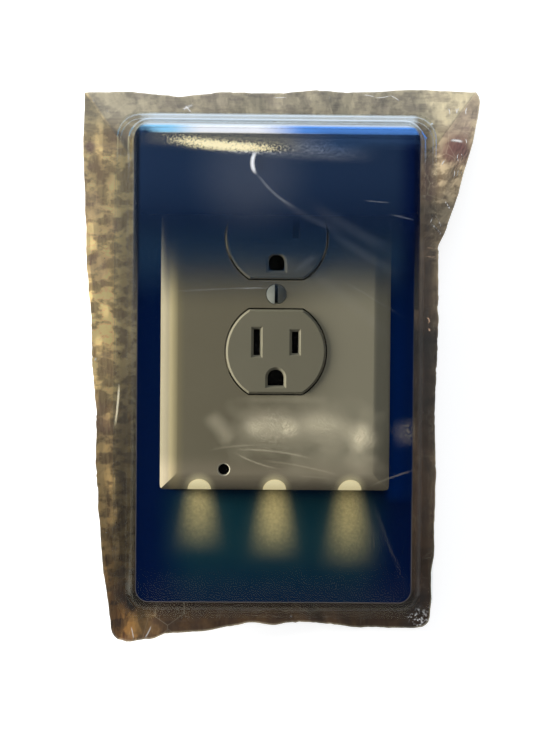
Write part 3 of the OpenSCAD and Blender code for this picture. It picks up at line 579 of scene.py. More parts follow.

# %% [markdown]
# ## Glare on the front
# Handling and the tight bag leave long soft creases in the front of the dome. Each shows as a thin pale
# line, since there the sheet turns a little and mirrors the room; here the line is painted reflection. A
# crease is a line from one point to another with a slight bow, and the mirror's share rises along it. A
# glare patch is a round area with a broken noise in it, and a veil a wide soft area, both painted
# reflection too. The lists below give each its place in millimetres and its strength.

# %% A crease and a glare patch, masks of painted reflection
def crease(tree, x, y, start, end, width, bow=0.0, fade=0.2):
    length = math.dist(start, end)
    ux, uy = (end[0] - start[0]) / length, (end[1] - start[1]) / length
    dx = maths(tree, "SUBTRACT", x, start[0] * MM)
    dy = maths(tree, "SUBTRACT", y, start[1] * MM)
    along = maths(tree, "ADD", maths(tree, "MULTIPLY", dx, ux), maths(tree, "MULTIPLY", dy, uy))
    across = maths(tree, "SUBTRACT", maths(tree, "MULTIPLY", dy, ux), maths(tree, "MULTIPLY", dx, uy))
    share = maths(tree, "DIVIDE", along, length * MM)
    from_middle = maths(tree, "ABSOLUTE", maths(tree, "SUBTRACT", share, 0.5))
    arch = maths(tree, "MULTIPLY_ADD", product(tree, from_middle, from_middle), -4 * bow * MM, bow * MM)
    off = maths(tree, "ABSOLUTE", maths(tree, "SUBTRACT", across, arch))
    body = ramp(tree, off, 0.0, width * MM, 1.0, 0.0, smooth=True)
    return product(tree, body, ramp(tree, from_middle, fade, 0.5, 1.0, 0.0, smooth=True))


def add_creases(tree, x, y, share, rows):
    for start, end, width, bow, strength in rows:
        line = crease(tree, x, y, start, end, width, bow)
        share = maths(tree, "MULTIPLY_ADD", line, strength, share)
    return share


def patch(tree, coords, x, y, centre, reach, scale):
    near = distance_from(tree, x, y, (centre[0] * MM, centre[1] * MM))
    blob = ramp(tree, near, 0.0, reach * MM, 1.0, 0.0, smooth=True)
    broken = ramp(tree, noise_at(tree, coords, scale, 5.0), 0.38, 0.74, smooth=True)
    return product(tree, blob, broken)


# %% Creases and patches of the front
fold_glare = [
    ((-7.0, 71.6), (-7.0, 63.4), 0.95, -1.3, 0.95),
    ((-7.4, 65.0), (6.5, 52.6), 0.7, -1.4, 0.060),
    ((-2.0, 57.5), (24.0, 44.0), 1.8, -1.2, 0.012),
    ((8.0, 56.0), (40.0, 38.0), 3.0, -0.6, 0.010),
    ((16.0, 46.0), (42.0, 30.0), 2.2, -0.4, 0.010),
    ((6.0, 36.0), (40.0, 8.0), 3.0, 0.6, 0.006),
    ((20.0, 30.0), (44.0, 16.0), 0.6, 0.0, 0.012),
    ((37.0, 51.0), (46.0, 49.0), 0.35, 0.0, 0.06),
    ((28.0, 55.6), (38.0, 55.0), 0.30, -0.3, 0.06),
    ((-36.0, 24.6), (4.0, 26.2), 0.35, 0.5, 0.03),
    ((-12.0, 25.8), (-4.0, 26.2), 0.35, 0.2, 0.05),
    ((6.0, 31.0), (14.0, 37.0), 1.8, 0.8, 0.014),
    ((-23.0, -15.0), (-14.0, -26.0), 4.2, 0.6, 0.080),
    ((-15.0, -19.4), (21.0, -20.4), 6.0, 0.4, 0.100),
    ((6.0, -16.0), (36.0, -25.0), 5.0, 0.8, 0.070),
    ((29.6, -16.0), (26.0, -29.5), 3.4, 0.5, 0.090),
    ((-16.0, -11.0), (19.0, -10.8), 1.8, 0.4, 0.030),
    ((-14.5, -27.4), (14.0, -30.6), 0.50, 1.2, 0.075),
    ((-14.0, -28.0), (2.0, -33.8), 0.45, -0.7, 0.080),
    ((-6.0, -30.6), (24.0, -36.4), 0.45, 0.8, 0.040),
    ((7.0, -36.0), (19.0, -36.8), 0.5, 0.2, 0.030),
    ((-22.0, -27.5), (-5.0, -25.8), 0.50, 0.5, 0.040),
    ((30.5, -39.5), (47.0, -33.4), 0.5, 0.3, 0.040),
    ((32.0, -42.0), (44.0, -72.0), 1.0, -0.6, 0.008),
    ((26.0, -40.0), (36.0, -62.0), 4.0, 0.0, 0.006),
]
flange_glare = [
    ((51.2, 81.6), (54.6, 82.9), 0.45, 0.2, 0.90),
    ((50.9, 17.2), (51.4, 14.8), 0.30, 0.5, 0.80),
    ((51.6, 13.4), (51.9, 12.4), 0.35, 0.0, 0.90),
    ((50.5, 40.5), (52.7, 40.3), 0.25, 0.0, 0.25),
    ((50.2, 37.6), (54.0, 37.3), 0.25, 0.0, 0.25),
    ((-52.4, -5.5), (-53.8, -21.0), 0.50, 0.2, 0.60),
    ((-48.7, 78.5), (-48.9, 64.0), 1.10, 0.0, 0.30),
    ((47.6, 79.5), (50.4, 76.5), 0.40, 0.4, 0.50),
]
glare_patches = [
    ((-1.6, -20.0), 10.0, 1900.0, 0.24),
    ((4.6, -20.0), 4.4, 2000.0, 0.42),
    ((-7.4, -19.8), 4.0, 2000.0, 0.26),
    ((28.4, -23.0), 6.5, 2000.0, 0.42),
    ((18.0, -20.0), 10.0, 1900.0, 0.15),
    ((43.5, -21.0), 6.0, 1400.0, 0.10),
    ((42.0, -22.0), 7.0, 90.0, 0.012),
    ((-11.5, 39.0), 3.0, 90.0, 0.016),
    ((28.0, -32.0), 9.0, 60.0, 0.050),
]
veils = [
    ((9.0, -20.5), (23.0, 7.5), 5.0, 0.038),
    ((18.0, -30.5), (15.0, 5.5), 5.0, 0.035),
    ((0.0, -80.0), (44.0, 9.0), 6.0, 0.004),
]


def veil(tree, coords, x, y, centre, half, soft):
    dx = maths(tree, "SUBTRACT", x, centre[0] * MM)
    dy = maths(tree, "SUBTRACT", y, centre[1] * MM)
    edge = outline_distance(tree, dx, dy, half[0] * MM, half[1] * MM, 5 * MM)
    wobble = ramp(tree, noise_at(tree, coords, 160.0, 3.0), 0.3, 0.7, -3 * MM, 3 * MM)
    edge = maths(tree, "ADD", edge, wobble)
    return ramp(tree, edge, -soft * MM, soft * MM, 1.0, 0.0, smooth=True)


# %% Lines of painted reflection along the moulded edges
flange_w, flange_end_w, wall_in = 4.0 * MM, 2.2 * MM, 1.8 * MM
shell_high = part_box("front_shell")[1]


def edge_lines(tree, x, y, share):
    upper = product(tree, ramp(tree, y, 66 * MM, 80 * MM, 0.05, 1.0, smooth=True),
                    ramp(tree, maths(tree, "ABSOLUTE", x), 44 * MM, 52 * MM, 1.0, 0.4),
                    ramp(tree, y, -84 * MM, -78 * MM, 0.20, 1.0))
    for in_side, in_end, corner, half, strength in (
        (0.4 * MM, 0.9 * MM, 7.6 * MM, 0.40 * MM, 0.40),
        (1.4 * MM, 2.3 * MM, 7.0 * MM, 0.30 * MM, 0.25),
        (flange_w, flange_end_w, 7.6 * MM, 0.45 * MM, 0.45),
        (flange_w + wall_in, flange_end_w + wall_in, 5.8 * MM, 0.40 * MM, 0.35),
    ):
        edge = outline_distance(tree, x, y, shell_high[0] - in_side, shell_high[1] - in_end, corner)
        line = product(tree, thin_line(tree, edge, 0.0, half), upper, strength)
        share = maths(tree, "ADD", share, line)
    return share


# %% Painted reflection: the bright upper edge and the warm glare below it
def top_glow(tree, coords, x, y, share):
    ends = product(tree, ramp(tree, x, -46.5 * MM, -41 * MM),
                   ramp(tree, x, 45.5 * MM, 47.5 * MM, 1.0, 0.0))
    drawn = stretched(tree, coords, (12.0, 900.0, 12.0))
    streak = ramp(tree, noise_at(tree, drawn, 1.0, 3.0), 0.35, 0.65, 0.45, 1.0)
    for low, rise, fall, high, strength in (
        (78.7, 79.3, 79.8, 80.3, 0.90), (77.4, 78.2, 79.6, 80.2, 0.34),
        (79.4, 80.2, 81.0, 81.8, 0.85), (81.0, 81.8, 84.2, 85.0, 0.60),
        (71.5, 75.8, 76.6, 77.6, 0.036),
    ):
        band = product(tree, ramp(tree, y, low * MM, rise * MM, smooth=True),
                       ramp(tree, y, fall * MM, high * MM, 1.0, 0.0, smooth=True), ends, streak)
        share = maths(tree, "MULTIPLY_ADD", band, strength, share)
    lower = product(tree, ramp(tree, y, 76.9 * MM, 77.4 * MM, smooth=True),
                    ramp(tree, y, 78.2 * MM, 79.2 * MM, 1.0, 0.0, smooth=True),
                    ends, ramp(tree, x, -43 * MM, -37 * MM),
                    ramp(tree, x, 4 * MM, 16 * MM, 0.85, 0.40))
    share = maths(tree, "ADD", share, lower)
    bell = crease(tree, x, y, (-44.5, 76.6), (9.0, 72.3), 3.1, -1.5, fade=0.05)
    grain = ramp(tree, noise_at(tree, coords, 1500.0, 3.0), 0.3, 0.7, -0.5, 0.5)
    core = ramp(tree, maths(tree, "ADD", bell, grain), 0.25, 0.8, smooth=True)
    share = maths(tree, "MULTIPLY_ADD", maths(tree, "MULTIPLY", core, bell), 1.0, share)
    haze = crease(tree, x, y, (-46.0, 77.0), (36.0, 71.0), 4.5, -1.0)
    specks = ramp(tree, noise_at(tree, coords, 1500.0, 3.0), 0.35, 0.7, 0.0, 2.1)
    share = maths(tree, "MULTIPLY_ADD", product(tree, haze, specks), 0.070, share)
    soft = ramp(tree, distance_from(tree, x, y, (-9 * MM, 64 * MM)), 3 * MM, 24 * MM,
                1.0, 0.0, smooth=True)
    return maths(tree, "MULTIPLY_ADD", soft, 0.018, share)


# %% Painted reflection colours: what the upper end mirrors
def mirrored_colours(tree, x, y):
    left = ramp(tree, x, -37 * MM, -24 * MM, smooth=True)
    right = ramp(tree, x, -8 * MM, 10 * MM, smooth=True)
    rounded = mix_colour(tree, left, tone(146, 208, 246), tone(240, 244, 252))
    rounded = mix_colour(tree, right, rounded, tone(92, 150, 232))
    foot = mix_colour(tree, ramp(tree, y, 79.3 * MM, 80.2 * MM), rounded, tone(222, 236, 248))
    glare = product(tree, ramp(tree, y, 70.6 * MM, 71.6 * MM), ramp(tree, x, 0 * MM, 10 * MM, 1.0, 0.0))
    room = mix_colour(tree, glare, tone(243, 246, 250), tone(255, 244, 202))
    blue = product(tree, ramp(tree, y, 68 * MM, 74 * MM), ramp(tree, x, 4 * MM, 20 * MM))
    room = mix_colour(tree, blue, room, tone(120, 170, 240))
    warm = ramp(tree, y, 4 * MM, -4 * MM)
    room = mix_colour(tree, warm, room, tone(250, 238, 205))
    brown = product(tree, ramp(tree, x, 45 * MM, 47 * MM), ramp(tree, y, 72 * MM, 60 * MM))
    room = mix_colour(tree, brown, room, tone(196, 164, 138))
    return mix_colour(tree, ramp(tree, y, 76.6 * MM, 77.4 * MM), room, foot)


# %% Front of the dome
def front_finish():
    mat, sheet = clear_sheet("clear_shell_front", (0.98, 0.99, 0.99, 1))
    tree = mat.node_tree
    coords, x, y = place_xyz(tree)[:3]
    share = edge_lines(tree, x, y, sheet["share"])
    share = add_creases(tree, x, y, share, fold_glare + flange_glare)
    for centre, reach, scale, strength in glare_patches:
        haze = patch(tree, coords, x, y, centre, reach, scale)
        share = maths(tree, "MULTIPLY_ADD", haze, strength, share)
    for centre, half, soft, strength in veils:
        pale = veil(tree, coords, x, y, centre, half, soft)
        share = maths(tree, "MULTIPLY_ADD", pale, strength, share)
    share = top_glow(tree, coords, x, y, share)
    tree.links.new(maths(tree, "MINIMUM", share, 0.95), sheet["mix"].inputs[0])
    tree.links.new(mirrored_colours(tree, x, y), sheet["shine"].inputs["Base Color"])
    return mat


dress(front_finish(), "front_shell")

# %% [markdown]
# ## The opened bag
# The pack lies on a smoke-tinted bag that has been opened flat. Its solid has the outline and the broad
# rise towards the cut edge. Film of this kind is also crumpled all over: flat facets with sharp creases
# between them. A folded strip of paper seen from its end is a zigzag, so each set of parallel creases is
# one zigzag wave, and a few of them in different directions added together give facets. Cloth simulation
# would give soft folds and none of these sharp ones. The sheet is made of rings that shrink from the cut
# edge to the middle, and rays cast down on the solid give the height that each point starts from. The
# draws and the noise both get a seed. Without one Blender takes the clock for its noise vectors, and the
# sheet would come out differently each time.

# %% Outline and height of the bag, read from its solid
bag = node_object("bag_sheet")
bag_low, bag_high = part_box("bag_sheet")
bag_tree = BVHTree.FromPolygons([v.co for v in bag.data.vertices],
                                [p.vertices for p in bag.data.polygons])
far_out, far_up, halvings, spokes = 0.2, 0.1, 18, 480


def bag_height(x, y):
    return bag_tree.ray_cast(Vector((x, y, far_up)), Vector((0, 0, -1)))[0]


def bag_reach(angle):
    near, far = 0.0, far_out
    for _ in range(halvings):
        half = (near + far) / 2
        if bag_height(half * math.cos(angle), half * math.sin(angle)):
            near = half
        else:
            far = half
    return near


angles = [math.radians(360 / spokes * n) for n in range(spokes)]
reaches = [bag_reach(angle) for angle in angles]
print("bag reaches from", round(min(reaches) / MM), "to", round(max(reaches) / MM), "mm")

# %% Crumple of the film
draw = random.Random(11)
noise.seed_set(11)
creases = [(draw.uniform(0, math.pi), draw.uniform(5, 15) * MM, draw.random()) for n in range(9)]


def zigzag(value):
    return 2 * abs(value % 1.0 - 0.5) - 0.5


# the folds are low, and lower still where the film is pulled tight above the pack
steepness = 0.015
tight_from, tight_over, tight_share = 74 * MM, 8 * MM, 0.55


def crumple(x, y):
    warp = noise.noise_vector(Vector((x, y, 0.3)) / (24 * MM)) * 4 * MM
    px, py = x + warp.x, y + warp.y
    height = 0.0
    for angle, pitch, phase in creases:
        travel = (px * math.cos(angle) + py * math.sin(angle)) / pitch + phase
        height += zigzag(travel) * pitch * steepness
    tight = min(max((y - tight_from) / tight_over, 0.0), 1.0)
    return height * (1 - tight_share * tight)


# %% Points of the sheet
rings = 52
under_rim, nick_wide, nick_fine = 0.6 * MM, 0.4 * MM, 0.25 * MM
loose_from, loose_over, pleats, pleat_h, lift_off = 0.6, 0.15, 11, 0.2 * MM, 0.2 * MM


def bag_foot(n, share):
    wide = noise.noise(Vector((n * 0.21, 0, 5))) * nick_wide
    nick = wide + noise.noise(Vector((n * 0.8, 3, 0))) * nick_fine
    r = share * (reaches[n] - under_rim + nick * share)
    x, y = r * math.cos(angles[n]), r * math.sin(angles[n])
    hit = bag_height(x, y) or bag_height(0.985 * x, 0.985 * y)
    return Vector((x, y, hit.z))


def softened(ring, reach=30, kept=0.10):
    heights = [p.z for p in ring]
    count = len(heights)
    for n, p in enumerate(ring):
        mean = sum(heights[(n + k) % count] for k in range(-reach, reach + 1)) / (2 * reach + 1)
        p.z = mean + kept * (p.z - mean)
    return ring


def bag_point(n, share, foot):
    free = min(max((share - loose_from) / loose_over, 0.0), 1.0)
    pleat = zigzag(share * pleats + noise.noise(Vector((n * 0.05, 1, 1)))) * pleat_h
    lift = max((crumple(foot.x, foot.y) + lift_off + pleat) * free, -0.6 * (foot.z - bag_low[2]))
    return foot.x, foot.y, max(foot.z + lift, bag_low[2] + 0.1 * MM)


# %% Build the sheet
def build_bag():
    mesh = bmesh.new()
    rim = mesh.verts.layers.float.new("rim")
    rows = []
    for k in range(rings + 1):
        share = k / rings
        feet = softened([bag_foot(n, share) for n in range(len(angles) if k else 1)])
        row = [mesh.verts.new(bag_point(n, share, foot)) for n, foot in enumerate(feet)]
        for v in row:
            v[rim] = share
        rows.append(row)
    count = len(angles)
    for n in range(count):
        mesh.faces.new((rows[0][0], rows[1][n], rows[1][(n + 1) % count]))
    for inner, outer in zip(rows[1:], rows[2:]):
        for n in range(count):
            m = (n + 1) % count
            mesh.faces.new((inner[n], outer[n], outer[m], inner[m]))
    bmesh.ops.recalc_face_normals(mesh, faces=mesh.faces)
    data = bpy.data.meshes.new("crumpled_bag")
    mesh.to_mesh(data)
    mesh.free()
    obj = bpy.data.objects.new("crumpled_bag", data)
    bpy.context.scene.collection.objects.link(obj)
    return obj


crumpled = build_bag()
print("bag sheet", len(crumpled.data.polygons), "faces")

# %% [markdown]
# The film's colour is uneven, because crumpled film lies double in places and thin in others. A noise
# with spots a few millimetres wide mixes a dark and a pale smoke, a slower one adds patches of mauve, and
# a noise that is stretched along the sheet gives faint ribs. The key lamp is low, so a slope that faces
# it comes out pale and one that turns from it comes out dark: each side gets a tint that evens this out,
# painted light on the slope that turns from the lamp and painted shade on the one that faces it. The film
# is darker towards the bottom, has painted shade on its right side, and is darkest where the shell shades
# it. Tight creases and the cut edge are thin pale lines of painted highlight: the cells of a Voronoi
# texture meet in just such a net. Where a facet turns to the light it mirrors it, so a few specks placed
# by noise, and the marks listed below, get a full mirror: painted glints.

# %% Film of the bag
def crease_net(tree, coords, scale, half):
    cells = tree.nodes.new("ShaderNodeTexVoronoi")
    cells.feature = "DISTANCE_TO_EDGE"
    cells.inputs["Scale"].default_value = scale
    tree.links.new(coords, cells.inputs["Vector"])
    return ramp(tree, cells.outputs["Distance"], 0.0, half, 1.0, 0.0)


# %% Smoky tones of the film
def bag_tones(tree, coords, x, y):
    high = ramp(tree, y, -78 * MM, 5 * MM)
    dark = mix_colour(tree, high, tone(74, 56, 35), tone(120, 103, 74))
    pale = mix_colour(tree, high, tone(142, 118, 78), tone(206, 188, 144))
    # painted shade: darker tones on the right side, which the pack shades
    right = product(tree, ramp(tree, x, 20 * MM, 50 * MM),
                    ramp(tree, y, 20 * MM, 60 * MM, 1.0, 0.0, smooth=True), 0.8)
    dark = mix_colour(tree, right, dark, tone(66, 52, 42))
    pale = mix_colour(tree, right, pale, tone(104, 84, 66))
    spots = noise_at(tree, stretched(tree, coords, (1.0, 1.4, 1.0)), 220.0, 5.0)
    blotch = ramp(tree, spots, 0.41, 0.59, smooth=True)
    colour = mix_colour(tree, blotch, dark, pale)
    patches = ramp(tree, noise_at(tree, coords, 65.0, 3.0), 0.54, 0.66, 0.0, 0.5, smooth=True)
    colour = mix_colour(tree, patches, colour, tone(116, 88, 86))
    grey = ramp(tree, y, 76 * MM, 86 * MM, 0.0, 0.55)
    colour = mix_colour(tree, grey, colour, tone(154, 145, 126))
    # ribs run down the sides and along the top
    top = ramp(tree, y, 78 * MM, 82 * MM)
    for way, own in (((5.0, 1.0, 1.0), maths(tree, "SUBTRACT", 1.0, top)), ((0.8, 7.0, 1.0), top)):
        ribs = ramp(tree, noise_at(tree, stretched(tree, coords, way), 240.0, 3.0),
                    0.35, 0.65, 0.0, 0.28)
        colour = mix_colour(tree, product(tree, ribs, own), colour, tone(196, 182, 144))
    bottom = product(tree, ramp(tree, y, -70 * MM, -80 * MM), ramp(tree, x, -48 * MM, -38 * MM), 0.85)
    colour = mix_colour(tree, bottom, colour, tone(58, 44, 31))
    for centre, reach, strength, paint in (
        ((62.9, 75.5), 7.5, 0.9, tone(92, 56, 52)), ((-64.6, 75.4), 3.0, 0.8, tone(76, 44, 60)),
        ((-58.0, 79.0), 6.0, 0.5, tone(88, 66, 46)), ((-61.0, 66.0), 6.0, 0.5, tone(88, 66, 46)),
        ((-47.0, -91.0), 6.0, 0.5, tone(150, 130, 84)),
    ):
        near = distance_from(tree, x, y, (centre[0] * MM, centre[1] * MM))
        spot = ramp(tree, near, reach * 0.3 * MM, reach * MM, strength, 0.0, smooth=True)
        colour = mix_colour(tree, spot, colour, paint)
    # the film rises to its cut edge, and its sides meet the top along lines that run out from the middle
    left = maths(tree, "MULTIPLY_ADD", y, -0.69, maths(tree, "MULTIPLY", x, -1.0))
    left = product(tree, ramp(tree, left, 0.2 * MM, 1.4 * MM),
                   ramp(tree, y, 4 * MM, -28 * MM, 1.0, 0.42))
    right = ramp(tree, maths(tree, "MULTIPLY_ADD", y, -0.735, x), -1.6 * MM, -0.4 * MM)
    corner = product(tree, maths(tree, "SUBTRACT", 1.0, right),
                     ramp(tree, x, 44 * MM, 58 * MM, smooth=True))
    # painted light and painted shade on the slopes up to the cut edge: the left slope and the top right
    # corner are lightened, the right slope and the top darkened; the film is also darkened towards the
    # bottom
    for value, start, full, own, tint in (
        (x, -44, -54, left, (2.05, 1.80, 1.32, 1)),
        (x, 44, 52, right, (0.64, 0.62, 0.70, 1)),
        (x, 44, 52, ramp(tree, y, 76 * MM, 62 * MM), (0.74, 0.72, 0.70, 1)),
        (y, 78, 87, ramp(tree, x, 46 * MM, 58 * MM, 1.0, 0.0), (0.62, 0.66, 0.76, 1)),
        (y, 78, 86, corner, (1.55, 1.6, 1.7, 1)),
        (x, -44, -54, ramp(tree, y, 0.0, -30 * MM), (0.92, 0.82, 0.68, 1)),
        (y, -60, -84, 1.0, (0.48, 0.38, 0.29, 1)),
    ):
        side = product(tree, ramp(tree, value, start * MM, full * MM, smooth=True), own)
        colour = mix_colour(tree, side, colour, tint, kind="MULTIPLY")
    return colour


# %% Shade under the shell's edge
def under_shell(tree, x, y, colour):
    edge = outline_distance(tree, x, y, shell_high[0], shell_high[1], 7.6 * MM)
    under = ramp(tree, edge, -0.8 * MM, 3.6 * MM, 1.0, 0.0, smooth=True)
    shade = product(tree, under, ramp(tree, y, 80 * MM, 30 * MM, 0.35, 0.7),
                    ramp(tree, x, -52 * MM, -20 * MM, 0.90, 1.0))
    colour = mix_colour(tree, shade, colour, tone(62, 45, 31))
    deeper = product(tree, under, ramp(tree, x, 40 * MM, 47 * MM), 0.9)
    colour = mix_colour(tree, deeper, colour, (0.42, 0.38, 0.42, 1), kind="MULTIPLY")
    foot = product(tree, under, ramp(tree, y, -77 * MM, -81 * MM))
    return mix_colour(tree, foot, colour, (0.20, 0.15, 0.11, 1), kind="MULTIPLY")


# %% Glints of the film
bag_crease_glints = [
    ((59.8, 90.2), (60.4, 87.8), 0.25, 0.3, 0.9), ((62.3, 90.2), (62.9, 88.2), 0.22, 0.2, 0.9),
    ((62.9, 88.2), (63.8, 90.4), 0.22, 0.2, 0.9), ((66.2, 87.8), (66.6, 90.6), 0.30, 0.4, 0.9),
    ((60.6, 79.2), (65.4, 78.4), 0.70, 0.2, 0.9), ((66.0, 79.6), (66.3, 77.8), 0.22, 0.1, 0.9),
    ((63.9, 74.8), (63.9, 71.4), 0.22, -0.6, 0.9), ((64.3, 74.8), (64.3, 71.4), 0.22, 0.6, 0.9),
    ((62.3, 68.8), (62.0, 65.8), 0.25, 0.2, 0.7), ((63.5, 69.0), (62.9, 66.2), 0.22, 0.2, 0.7),
    ((64.4, 68.2), (64.4, 66.4), 0.22, 0.2, 0.7), ((58.2, 70.4), (59.3, 72.4), 0.35, 0.2, 0.8),
    ((58.6, 58.4), (61.2, 54.0), 0.35, 0.2, 0.6), ((54.8, 53.8), (54.2, 50.0), 0.30, 0.2, 0.6),
    ((54.0, 50.4), (58.0, 45.6), 0.60, 0.3, 0.5), ((55.4, 53.6), (57.9, 48.4), 0.35, 0.3, 0.4),
    ((44.4, 86.4), (45.8, 85.2), 0.35, 0.1, 0.9), ((-33.0, 88.2), (-28.6, 90.4), 0.60, 0.2, 0.8),
    ((-32.0, 90.2), (-29.4, 87.4), 0.45, 0.1, 0.7), ((-1.5, 93.0), (3.8, 93.1), 0.22, 0.0, 0.8),
    ((29.8, 94.3), (34.4, 93.5), 0.22, 0.2, 0.8), ((34.0, 93.4), (39.8, 94.2), 0.22, -0.3, 0.8),
    ((39.2, 94.3), (43.0, 92.2), 0.22, 0.2, 0.8), ((-49.4, -91.4), (-48.3, -96.2), 0.30, 0.1, 0.5),
    ((-42.2, -91.2), (-44.6, -95.8), 0.35, 0.2, 0.5), ((-53.9, -5.5), (-55.6, -22.5), 0.30, 0.2, 0.5),
]


def bag_glints(tree, coords, x, y):
    wide = ramp(tree, noise_at(tree, coords, 45.0, 2.0), 0.50, 0.64)
    specks = product(tree, wide, ramp(tree, noise_at(tree, coords, 620.0, 3.0), 0.70, 0.76))
    near = distance_from(tree, x, y, (51.5 * MM, -88.6 * MM))
    corner = product(tree, ramp(tree, near, 0.0, 5 * MM, 1.0, 0.0),
                     ramp(tree, noise_at(tree, coords, 1100.0, 3.0), 0.52, 0.62))
    share = maths(tree, "MULTIPLY", maths(tree, "MAXIMUM", specks, corner), 0.6)
    return add_creases(tree, x, y, share, bag_crease_glints)


def bag_finish():
    mat = finish("smoky_film", tone(182, 172, 138), tone(78, 60, 38), rough=0.34, bump=0.35, grain=420,
                 depth=0.0003, specular=0.12)
    tree, shader = parts_of(mat)[:2]
    out = output_of(tree)
    coords, x, y = place_xyz(tree)[:3]
    # painted highlight: pale lines along the crease net and along the cut edge
    net = product(tree, crease_net(tree, coords, 130.0, 0.03),
                  ramp(tree, noise_at(tree, coords, 90.0, 2.0), 0.48, 0.62))
    rim = tree.nodes.new("ShaderNodeAttribute")
    rim.attribute_name = "rim"
    cut = ramp(tree, rim.outputs["Fac"], 0.992, 1.0)
    pale = maths(tree, "MAXIMUM", maths(tree, "MULTIPLY", net, 0.08), maths(tree, "MULTIPLY", cut, 0.3))
    smoke = under_shell(tree, x, y, bag_tones(tree, coords, x, y))
    colour = mix_colour(tree, pale, smoke, tone(214, 206, 180))
    tree.links.new(colour, shader.inputs["Base Color"])
    mirror = tree.nodes.new("ShaderNodeBsdfGlossy")
    mirror.inputs["Roughness"].default_value = 0.15
    glints = tree.nodes.new("ShaderNodeMixShader")
    tree.links.new(maths(tree, "MINIMUM", bag_glints(tree, coords, x, y), 0.95), glints.inputs[0])
    tree.links.new(shader.outputs[0], glints.inputs[1])
    tree.links.new(mirror.outputs[0], glints.inputs[2])
    clear = tree.nodes.new("ShaderNodeBsdfTransparent")
    thin = tree.nodes.new("ShaderNodeMixShader")
    tree.links.new(ramp(tree, y, -60 * MM, 90 * MM, 0.99, 0.95), thin.inputs[0])
    tree.links.new(clear.outputs[0], thin.inputs[1])
    tree.links.new(glints.outputs[0], thin.inputs[2])
    tree.links.new(thin.outputs[0], out.inputs["Surface"])
    return mat


crumpled.data.materials.append(bag_finish())
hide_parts("bag_sheet")
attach(crumpled, "pack")


def outline_area():
    step = angles[1] - angles[0]
    return sum(a * b for a, b in zip(reaches, reaches[1:] + reaches[:1])) * math.sin(step) / 2


print("flat area", round(outline_area() * 1e4, 1), "cm2")

# %% [markdown]
# ## Floor, lamps and world
# A pale floor keeps the shadow and tells where the pack stands. The world is white to the camera and in
# reflections, and a dim grey to everything else, so that the background stays white without pouring more
# light on the pack.

# %% Floor
def make_floor():
    bpy.ops.mesh.primitive_plane_add(size=4.0, location=(0, 0, -0.2 * MM))
    floor = bpy.context.object
    floor.name = "floor"
    mat, tree, out = new_material("floor_white")
    diffuse = tree.nodes.new("ShaderNodeBsdfDiffuse")
    diffuse.inputs["Color"].default_value = (0.6, 0.6, 0.6, 1)
    glow = tree.nodes.new("ShaderNodeEmission")
    path = tree.nodes.new("ShaderNodeLightPath")
    tree.links.new(maths(tree, "MULTIPLY", path.outputs["Is Camera Ray"], 0.8), glow.inputs["Strength"])
    both = tree.nodes.new("ShaderNodeAddShader")
    tree.links.new(diffuse.outputs[0], both.inputs[0])
    tree.links.new(glow.outputs[0], both.inputs[1])
    tree.links.new(both.outputs[0], out.inputs["Surface"])
    floor.data.materials.append(mat)
    return floor


make_floor()


# %% World
def make_world():
    world = bpy.data.worlds.new("studio")
    bpy.context.scene.world = world
    world.use_nodes = True
    tree = world.node_tree
    tree.nodes.clear()
    out = tree.nodes.new("ShaderNodeOutputWorld")
    soft = tree.nodes.new("ShaderNodeBackground")
    soft.inputs["Color"].default_value = (0.95, 0.97, 1.0, 1)
    soft.inputs["Strength"].default_value = 0.34
    white = tree.nodes.new("ShaderNodeBackground")
    white.inputs["Color"].default_value = (1, 1, 1, 1)
    path = tree.nodes.new("ShaderNodeLightPath")
    seen = maths(tree, "MAXIMUM", path.outputs["Is Camera Ray"], path.outputs["Is Glossy Ray"])
    seen = maths(tree, "MAXIMUM", seen, path.outputs["Is Transmission Ray"])
    mix = tree.nodes.new("ShaderNodeMixShader")
    tree.links.new(seen, mix.inputs[0])
    tree.links.new(soft.outputs[0], mix.inputs[1])
    tree.links.new(white.outputs[0], mix.inputs[2])
    tree.links.new(mix.outputs[0], out.inputs["Surface"])


make_world()

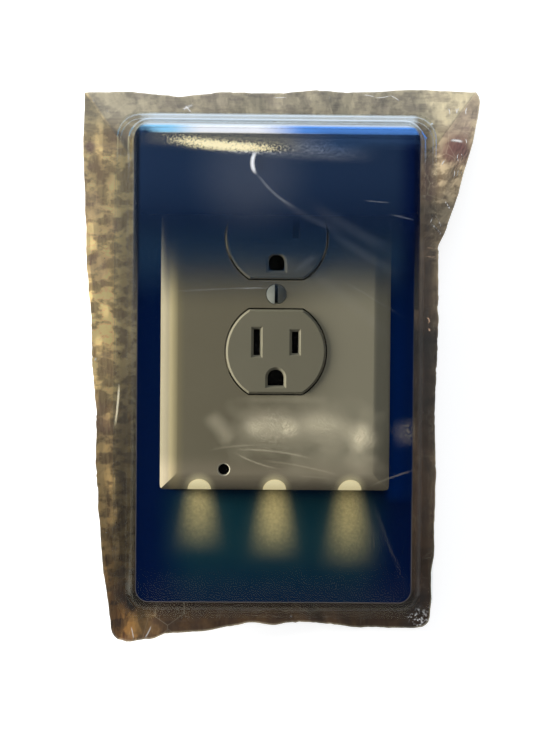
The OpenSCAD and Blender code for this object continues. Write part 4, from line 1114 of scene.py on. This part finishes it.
# %% [markdown]
# Two lamps make the picture. A soft key from the left, low over the floor, gives the plate one bright
# bevel and one dark one. A window-like lamp beyond the top end lights the rounded edge of the dome.

# %% Lamps
def area_lamp(name, place, aim, size, power, colour=(1, 1, 1)):
    data = bpy.data.lights.new(name, "AREA")
    data.shape = "RECTANGLE"
    data.size, data.size_y = size
    data.energy = power
    data.color = colour
    lamp = bpy.data.objects.new(name, data)
    lamp.location = place
    lamp.rotation_euler = (Vector(aim) - Vector(place)).to_track_quat("-Z", "Y").to_euler()
    bpy.context.scene.collection.objects.link(lamp)
    return lamp


key = area_lamp("key_left", (-0.90, 0.12, 0.175), (0, 0.02, 0.03), (0.26, 0.22), 39.0, (1.0, 0.97, 0.90))
key.visible_glossy = False
area_lamp("window_top", (0.0, 0.80, 0.42), (0, 0.05, 0.03), (0.60, 0.20), 2.0, (0.72, 0.86, 1.0))

# %% [markdown]
# ## Camera
# The pack is seen from almost straight above, tipped and turned by about a degree. The camera is placed
# from the point on the pack that it looks at, the distance and the width of the view there, so each can
# be set by itself.

# %% Camera
view_w = 185.2 * MM
distance = 543.0 * MM
tip = math.radians(1.34)
lean = math.radians(-1.05)
roll = math.radians(0.48)
aim = Vector((-0.1, 0.1, 26.0)) * MM


def place_camera():
    data = bpy.data.cameras.new("camera")
    data.sensor_fit = "HORIZONTAL"
    data.sensor_width = 36.0
    data.lens = data.sensor_width * distance / view_w
    cam = bpy.data.objects.new("camera", data)
    forward = Vector((-math.sin(lean), -math.sin(tip) * math.cos(lean), -math.cos(tip) * math.cos(lean)))
    level = forward.cross(Vector((0, 1, 0))).normalized()
    upright = level.cross(forward)
    right = math.cos(roll) * level + math.sin(roll) * upright
    up = math.cos(roll) * upright - math.sin(roll) * level
    cam.matrix_world = Matrix.Translation(aim - forward * distance) @ Matrix(
        (right, up, -forward)).transposed().to_4x4()
    bpy.context.scene.collection.objects.link(cam)
    bpy.context.scene.camera = cam
    return cam


camera = place_camera()
print("camera height", round(camera.matrix_world.translation.z, 3), "m")

# %% Finish
bpy.context.scene.view_settings.view_transform = "Standard"
